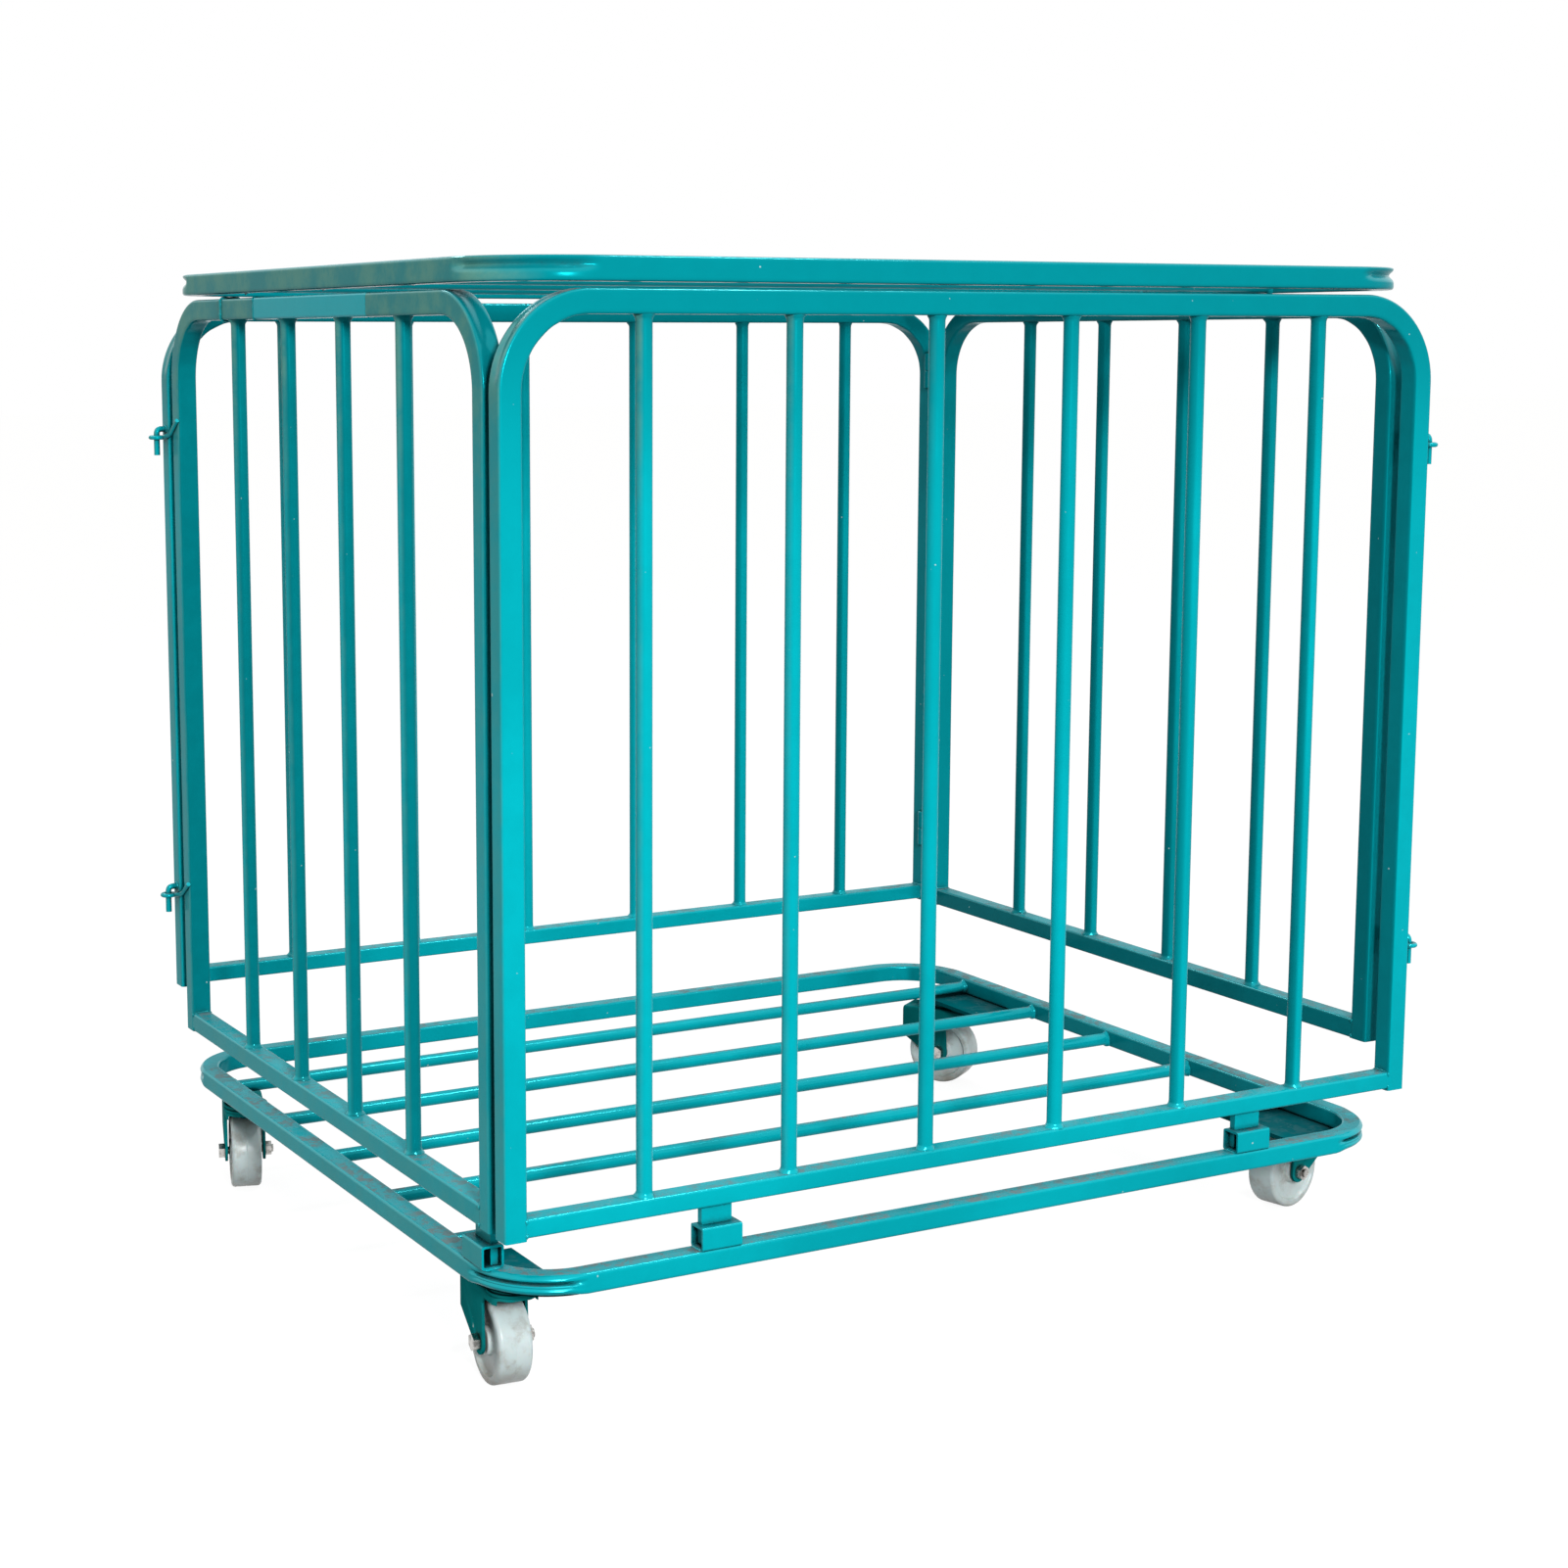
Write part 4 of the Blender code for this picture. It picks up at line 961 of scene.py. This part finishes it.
def socket(name, along, axis):
    """A short box tube lying on the ring, open at both ends, with beads along its foot."""
    base = Vector((0, 0, RING_HIGH.z - GAP))
    base[axis] = RING_LOW[axis] + along
    base[1 - axis] = RING_LOW[1 - axis] + TUBE / 2
    along_way, side_way = Vector((0, 0, 0)), Vector((0, 0, 0))
    along_way[axis] = side_way[1 - axis] = 1.0
    half_up, reach = SOCKET_HEIGHT / 2, SOCKET_LENGTH / 2
    centre = base + UP * half_up
    outer = rounded_section(TUBE / 2, half_up, SOCKET_CORNER, flats=1)
    inner = rounded_section(TUBE / 2 - SOCKET_WALL, half_up - SOCKET_WALL, SOCKET_INNER_CORNER, flats=1)
    cage = bmesh.new()
    loft(cage, [[centre + along_way * way + side_way * out + UP * rise for out, rise in section]
                for way, section in ((-reach, outer), (reach, outer), (reach, inner), (-reach, inner))],
         True)
    piece = mesh_object(name, cage, "base_enamel", "base", ["base_ring"])
    beads = bmesh.new()
    for seed, way in enumerate((-reach, reach)):
        end, half = base + along_way * way, side_way * SOCKET_END_BEAD
        bead_line(beads, end - half, end + half, SOCKET_BEAD, seed + along * 50)
    edge, half = base + side_way * TUBE / 2, along_way * SOCKET_SIDE_BEAD
    bead_line(beads, edge - half, edge + half, SOCKET_BEAD, along * 50 + 5)
    mesh_object(f"{name}_welds", beads, "base_enamel", "base", [], BEAD_WORK)
    return piece


def sockets():
    """Two sockets on the ring's front with slots for the tongues, and one on its left with the rest."""
    near = RING_LOW.y + TONGUE_SETBACK - SLOT_PLAY
    far = RING_LOW.y + TONGUE_SETBACK + TONGUE_THICKNESS + SLOT_PLAY
    reach = TONGUE_LENGTH / 2 + SLOT_PLAY
    for name, along in zip(("front_left_socket", "front_right_socket"), FRONT_SOCKETS):
        piece = socket(name, along, 0)
        middle = RING_LOW.x + along
        slot = bmesh.new()
        slab(slot, (middle - reach, near, RING_HIGH.z + SOCKET_HEIGHT / 2),
             (middle + reach, far, RING_HIGH.z + SOCKET_HEIGHT * 1.5))
        carve(piece, slot, "DIFFERENCE")
    socket("side_socket", SIDE_SOCKET, 1)
    cage = bmesh.new()
    tongue(cage, RING_LOW.y + SIDE_SOCKET, RING_LOW.x, 1, RING_HIGH.z + SOCKET_WALL - REST_SUNK,
           PANELS["left"].foot - GAP)
    mesh_object("side_rest", cage, "base_enamel", "base", ["base_ring"])


# Casters


class Caster:
    """One caster's own frame: X the way it trails, Y along its axle, from the kingpin on the floor."""

    def __init__(self, corner):
        self.corner = corner
        king = Vector(JOINTS[f"{corner}_caster_swivel"]["pos_m"])
        hub = Vector(JOINTS[f"{corner}_wheel_spin"]["pos_m"])
        trail = Vector((hub.x - king.x, hub.y - king.y, 0.0))
        self.trail = trail.length
        x = trail.normalized()
        self.turn = Matrix((x, UP.cross(x), UP)).transposed().to_4x4()
        self.turn.translation = (king.x, king.y, 0.0)

    def place(self, cage):
        bmesh.ops.transform(cage, matrix=self.turn, verts=cage.verts)


def fork_section():
    """The fork's section across its axle: a plate folded down on both sides."""
    outer = WHEEL_WIDTH / 2 + FORK_CLEARANCE + FORK_THICKNESS
    inside = outer - FORK_THICKNESS
    out_fold, out_top = outer - OUTER_FOLD, FORK_CROWN - OUTER_FOLD
    in_fold, in_top = inside - INNER_FOLD, FORK_CROWN - FORK_THICKNESS - INNER_FOLD
    foot = WHEEL_RADIUS - FORK_TIP - FORK_FOOT
    return [(outer, foot), *arc((out_fold, out_top), OUTER_FOLD, 0, 90),
            *arc((-out_fold, out_top), OUTER_FOLD, 90, 180), (-outer, foot), (-inside, foot),
            *arc((-in_fold, in_top), INNER_FOLD, 180, 90), *arc((in_fold, in_top), INNER_FOLD, 90, 0),
            (inside, foot)]


def fork_side(caster, end):
    """What shows of the pressing from its side: a low front, sloping shoulders and legs that taper."""
    over, shoulder = FORK_CROWN + 0.01, caster.trail - FORK_SHOULDER
    nose, brow, before, past = (FORK_CROWN - drop for drop in FORK_DROPS)
    return [(-WELL_PAST, over), (-WELL_PAST, nose), (-FORK_CROWN_START + 0.004, brow),
            (shoulder - 0.006, before), (shoulder - 0.001, past),
            *arc((caster.trail, WHEEL_RADIUS), FORK_TIP, 180, 330, 16), (end, FORK_TAPER), (end, over)]


def fork_plan(far):
    """What shows of the pressing from above: a round nose over the kingpin."""
    return [(far + 0.01, -0.03), (far + 0.01, 0.03), (0.0, 0.03), *arc((0, 0), CROWN_NOSE, 90, 270, 24),
            (0.0, -0.03)]


def fork(caster):
    """A pressed fork: one plate folded down over the wheel, with rounded folds and tapered legs."""
    far = caster.trail + FORK_REACH
    cage, side, plan, bore = (bmesh.new() for _ in range(4))
    loft(cage, [[Vector((x, y, z)) for y, z in fork_section()] for x in (-FORK_CROWN_START, far)], False)
    loft(side, [[Vector((x, y, z)) for x, z in fork_side(caster, far - 0.001)] for y in (-0.04, 0.04)],
         False)
    loft(plan, [[Vector((x, y, z)) for x, y in fork_plan(far)] for z in (0.0, 0.12)], False)
    lathe(bore, [(-WELL_PAST, AXLE_BORE), (WELL_PAST, AXLE_BORE)],
          Vector((caster.trail, 0, WHEEL_RADIUS)), (0, 1, 0), 24)
    caster.place(cage)
    piece = mesh_object(f"{caster.corner}_fork_pressing", cage, "caster_enamel", f"{caster.corner}_fork",
                        [f"{caster.corner}_caster_fork"])
    for tool, operation in ((side, "INTERSECT"), (plan, "INTERSECT"), (bore, "DIFFERENCE")):
        caster.place(tool)
        carve(piece, tool, operation)
    soften(piece, FORK_EASE)


def race(caster):
    """The swivel race on the fork's crown: two dished rings with a groove between them."""
    ridge, groove = RACE_RADIUS, RACE_RADIUS - RACE_GROOVE
    cage = bmesh.new()
    lathe(cage, [(FORK_CROWN - 0.0004, ridge - 0.0012), (FORK_CROWN + 0.0012, ridge),
                 (FORK_CROWN + 0.0030, ridge), (FORK_CROWN + 0.0038, groove), (FORK_CROWN + 0.0048, groove),
                 (FORK_CROWN + 0.0054, ridge), (RACE_TOP - 0.0008, ridge), (RACE_TOP, ridge - 0.0010)],
          Vector((0, 0, 0)), UP, 40)
    caster.place(cage)
    mesh_object(f"{caster.corner}_fork_race", cage, "caster_enamel", f"{caster.corner}_fork",
                [f"{caster.corner}_caster_fork"])


def wheel_side():
    """Half the wheel's section as (reach, radius) pairs: bore, hub, dished side, rim and tread's edge."""
    half, rim = WHEEL_WIDTH / 2, WHEEL_RADIUS - 0.0075
    hub, recess, edge, step, nick = 0.012, 0.005, 0.0035, 0.0010, 0.0008
    web = half - recess
    return [(half - step, AXLE_BORE), (half, AXLE_BORE + nick), (half, hub - step), (half - nick, hub),
            (web + step, hub + nick), (web, hub + 2 * step), (web - 0.0003, (hub + rim) / 2),
            (web, rim - 2 * step), (web + step, rim - 0.0009), (half - 0.0018, rim),
            (half - step, rim + nick), (half - step, WHEEL_RADIUS - edge - 0.0006),
            *arc((half - step - edge, WHEEL_RADIUS - edge), edge, 0, 90)]


def wheel(caster):
    """A moulded wheel with a crowned tread, recessed sides and a hub."""
    side = wheel_side() + [(0.0007, WHEEL_RADIUS)]
    profile = side + [(0.0, WHEEL_RADIUS - 0.0003)] + [(-reach, radius) for reach, radius in reversed(side)]
    cage = bmesh.new()
    loft(cage, [[Vector((caster.trail + radius * math.cos(t), reach, WHEEL_RADIUS + radius * math.sin(t)))
                 for t in turns(64)] for reach, radius in profile], True)
    caster.place(cage)
    mesh_object(f"{caster.corner}_wheel_moulding", cage, "caster_nylon", f"{caster.corner}_wheel",
                [f"{caster.corner}_caster_wheel"], MOULDED_WORK)


# Caster plates


def plate_outline(corner, inset):
    """A corner plate's outline, with the sides under the ring's outer edge set in, as the ring curves."""
    low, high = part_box(f"{corner}_corner_plate")
    to_right, to_back = corner.endswith("right"), corner.startswith("back")
    radius = RING_BEND - PLATE_MARGIN - inset
    middle = Vector((RING_HIGH.x - RING_BEND if to_right else RING_LOW.x + RING_BEND,
                     RING_HIGH.y - RING_BEND if to_back else RING_LOW.y + RING_BEND))
    out_x, out_y = (1 if to_right else -1), (1 if to_back else -1)
    side_x, side_y = middle.x + out_x * radius, middle.y + out_y * radius
    inner_x = low.x if to_right else high.x
    inner_y = low.y if to_back else high.y
    rounded = arc((0, 0), radius, 90, 0, PLATE_STEPS)
    points = [(middle.x + out_x * x, middle.y + out_y * y) for x, y in rounded]
    points += [(side_x, inner_y), (inner_x, inner_y), (inner_x, side_y)]
    low_x, high_x = sorted((inner_x, side_x))
    return [(min(max(x, low_x), high_x), min(max(y, low.y), high.y)) for x, y in points]


def corner_plate(corner):
    """A plate under the ring, ground off at a slope under its outer edge, with the riveted kingpin."""
    low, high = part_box(f"{corner}_corner_plate")
    bottom = high.z - PLATE_THICKNESS
    cage = bmesh.new()
    loft(cage, [[Vector((x, y, z)) for x, y in plate_outline(corner, inset)]
                for z, inset in ((high.z, 0.0), (bottom, PLATE_SLOPE))], False)
    bmesh.ops.remove_doubles(cage, verts=cage.verts, dist=0.00001)
    king = Vector(JOINTS[f"{corner}_caster_swivel"]["pos_m"])
    king.z = 0.0
    (head, thick), (inset, rise) = KINGPIN_HEAD, KINGPIN_DOME
    lathe(cage, [(low.z, head - inset), (low.z + rise, head), (low.z + thick - KINGPIN_EASE, head),
                 (low.z + thick, head - KINGPIN_EASE), (low.z + thick, KINGPIN),
                 (bottom + KINGPIN_SUNK, KINGPIN)], king, UP, 28)
    mesh_object(f"{corner}_plate", cage, "base_enamel", "base", [f"{corner}_corner_plate"],
                finish=SHADED_ENAMEL)


def keep_cad_nodes():
    """Give the CAD nodes that stay in view the same worn and shaded finishes."""
    for name, node in frame["nodes"].items():
        for index, paint in enumerate(node.data.materials):
            slot = paint.name.split(".")[0]
            node.data.materials[index] = MATERIALS[slot]
        if name.endswith("_axle"):
            soften(node, AXLE_EASE)


# Surroundings

WORLD_LEVEL = 0.52
WORLD_TINT = (1.0, 0.985, 0.95)
FLOOR_SIZE = 60.0
FLOOR_COLOUR = (0.15, 0.15, 0.15)
WHITE = (1.0, 1.0, 1.0)
FLOOR_GLOW = 0.92


def backdrop_world():
    """Soft even light, and a white background for what is seen directly."""
    world = bpy.data.worlds.new("plain_studio")
    bpy.context.scene.world = world
    sky = Nodes(world)
    tone = sky.mix(sky.seen_directly(), shade(WORLD_TINT, WORLD_LEVEL), WHITE)
    sky.feed(sky.tree.nodes["Background"].inputs["Color"], tone)


def floor():
    """A plain white floor that keeps the basket's soft shadow."""
    cage = bmesh.new()
    bmesh.ops.create_grid(cage, x_segments=1, y_segments=1, size=FLOOR_SIZE / 2)
    mesh = to_mesh("floor", cage)
    paint = Shader("plain_floor")
    paint.paint(Base_Color=FLOOR_COLOUR, Roughness=1.0, Specular_IOR_Level=0.0, Emission_Color=WHITE,
                Emission_Strength=paint.times(paint.seen_directly(), FLOOR_GLOW))
    mesh.materials.append(paint.material)
    put("floor", mesh)


def lamp(name, place, target, size, energy):
    """A round area lamp turned to its target."""
    light = bpy.data.lights.new(name, "AREA")
    light.shape = "DISK"
    light.size = size
    light.energy = energy
    holder = put(name, light)
    holder.location = place
    way = Vector(target) - Vector(place)
    holder.rotation_euler = way.to_track_quat("-Z", "Y").to_euler()


def studio():
    """The white surroundings, a key lamp behind the camera on its right and two weaker ones above."""
    backdrop_world()
    floor()
    lamp("key", place=(-1.1, -3.6, 1.6), target=(0.0, 0.0, 0.40), size=0.6, energy=113.0)
    lamp("front_top", place=(1.2, -1.2, 3.4), target=(0.0, 0.0, 0.5), size=0.35, energy=26.0)
    lamp("rear_top", place=(-0.6, 2.6, 3.0), target=(0.0, 0.0, 0.5), size=1.0, energy=22.0)
    bpy.context.scene.view_settings.view_transform = "Standard"


def camera():
    """The photograph's view."""
    yaw, pitch, roll = (math.radians(angle) for angle in (CAMERA_YAW, CAMERA_PITCH, CAMERA_ROLL))
    forward = Vector((math.sin(yaw) * math.cos(pitch), math.cos(yaw) * math.cos(pitch), math.sin(pitch)))
    level = Vector((math.cos(yaw), -math.sin(yaw), 0.0))
    upright = level.cross(forward)
    right = math.cos(roll) * level + math.sin(roll) * upright
    up = -math.sin(roll) * level + math.cos(roll) * upright
    view = bpy.data.cameras.new("photo_view")
    view.sensor_width = SENSOR
    view.lens = SENSOR * FOCAL_PIXELS / IMAGE_SIDE
    view.shift_x = 0.5 - PRINCIPAL_PIXEL[0] / IMAGE_SIDE
    view.shift_y = PRINCIPAL_PIXEL[1] / IMAGE_SIDE - 0.5
    view.clip_end = 200.0
    holder = put("photo_view", view)
    turned = Matrix((right, up, -forward)).transposed().to_4x4()
    holder.matrix_world = Matrix.Translation(CAMERA_PLACE) @ turned
    bpy.context.scene.camera = holder


# Everything together


for panel in PANELS.values():
    panel_frame(panel)
    panel_rail(panel)
    rail_welds(panel)
    for bar in bars_of(panel.name):
        round_bar(bar, panel.body, "teal_enamel", panel.finish)
touched_up_rail()
for level_name in ("upper", "lower"):
    butt_hinge(f"near_hinge_pin_{level_name}", PANELS["front"], PANELS["left"])
    butt_hinge(f"far_hinge_pin_{level_name}", PANELS["back"], PANELS["right"])
hooks()
lid()
base_ring()
sockets()
for floor_bar in bars_of("floor"):
    round_bar(floor_bar, "base", "base_enamel")
for corner_name in ("front_left", "front_right", "back_left", "back_right"):
    corner_plate(corner_name)
    this_caster = Caster(corner_name)
    fork(this_caster)
    race(this_caster)
    wheel(this_caster)
keep_cad_nodes()
studio()
camera()
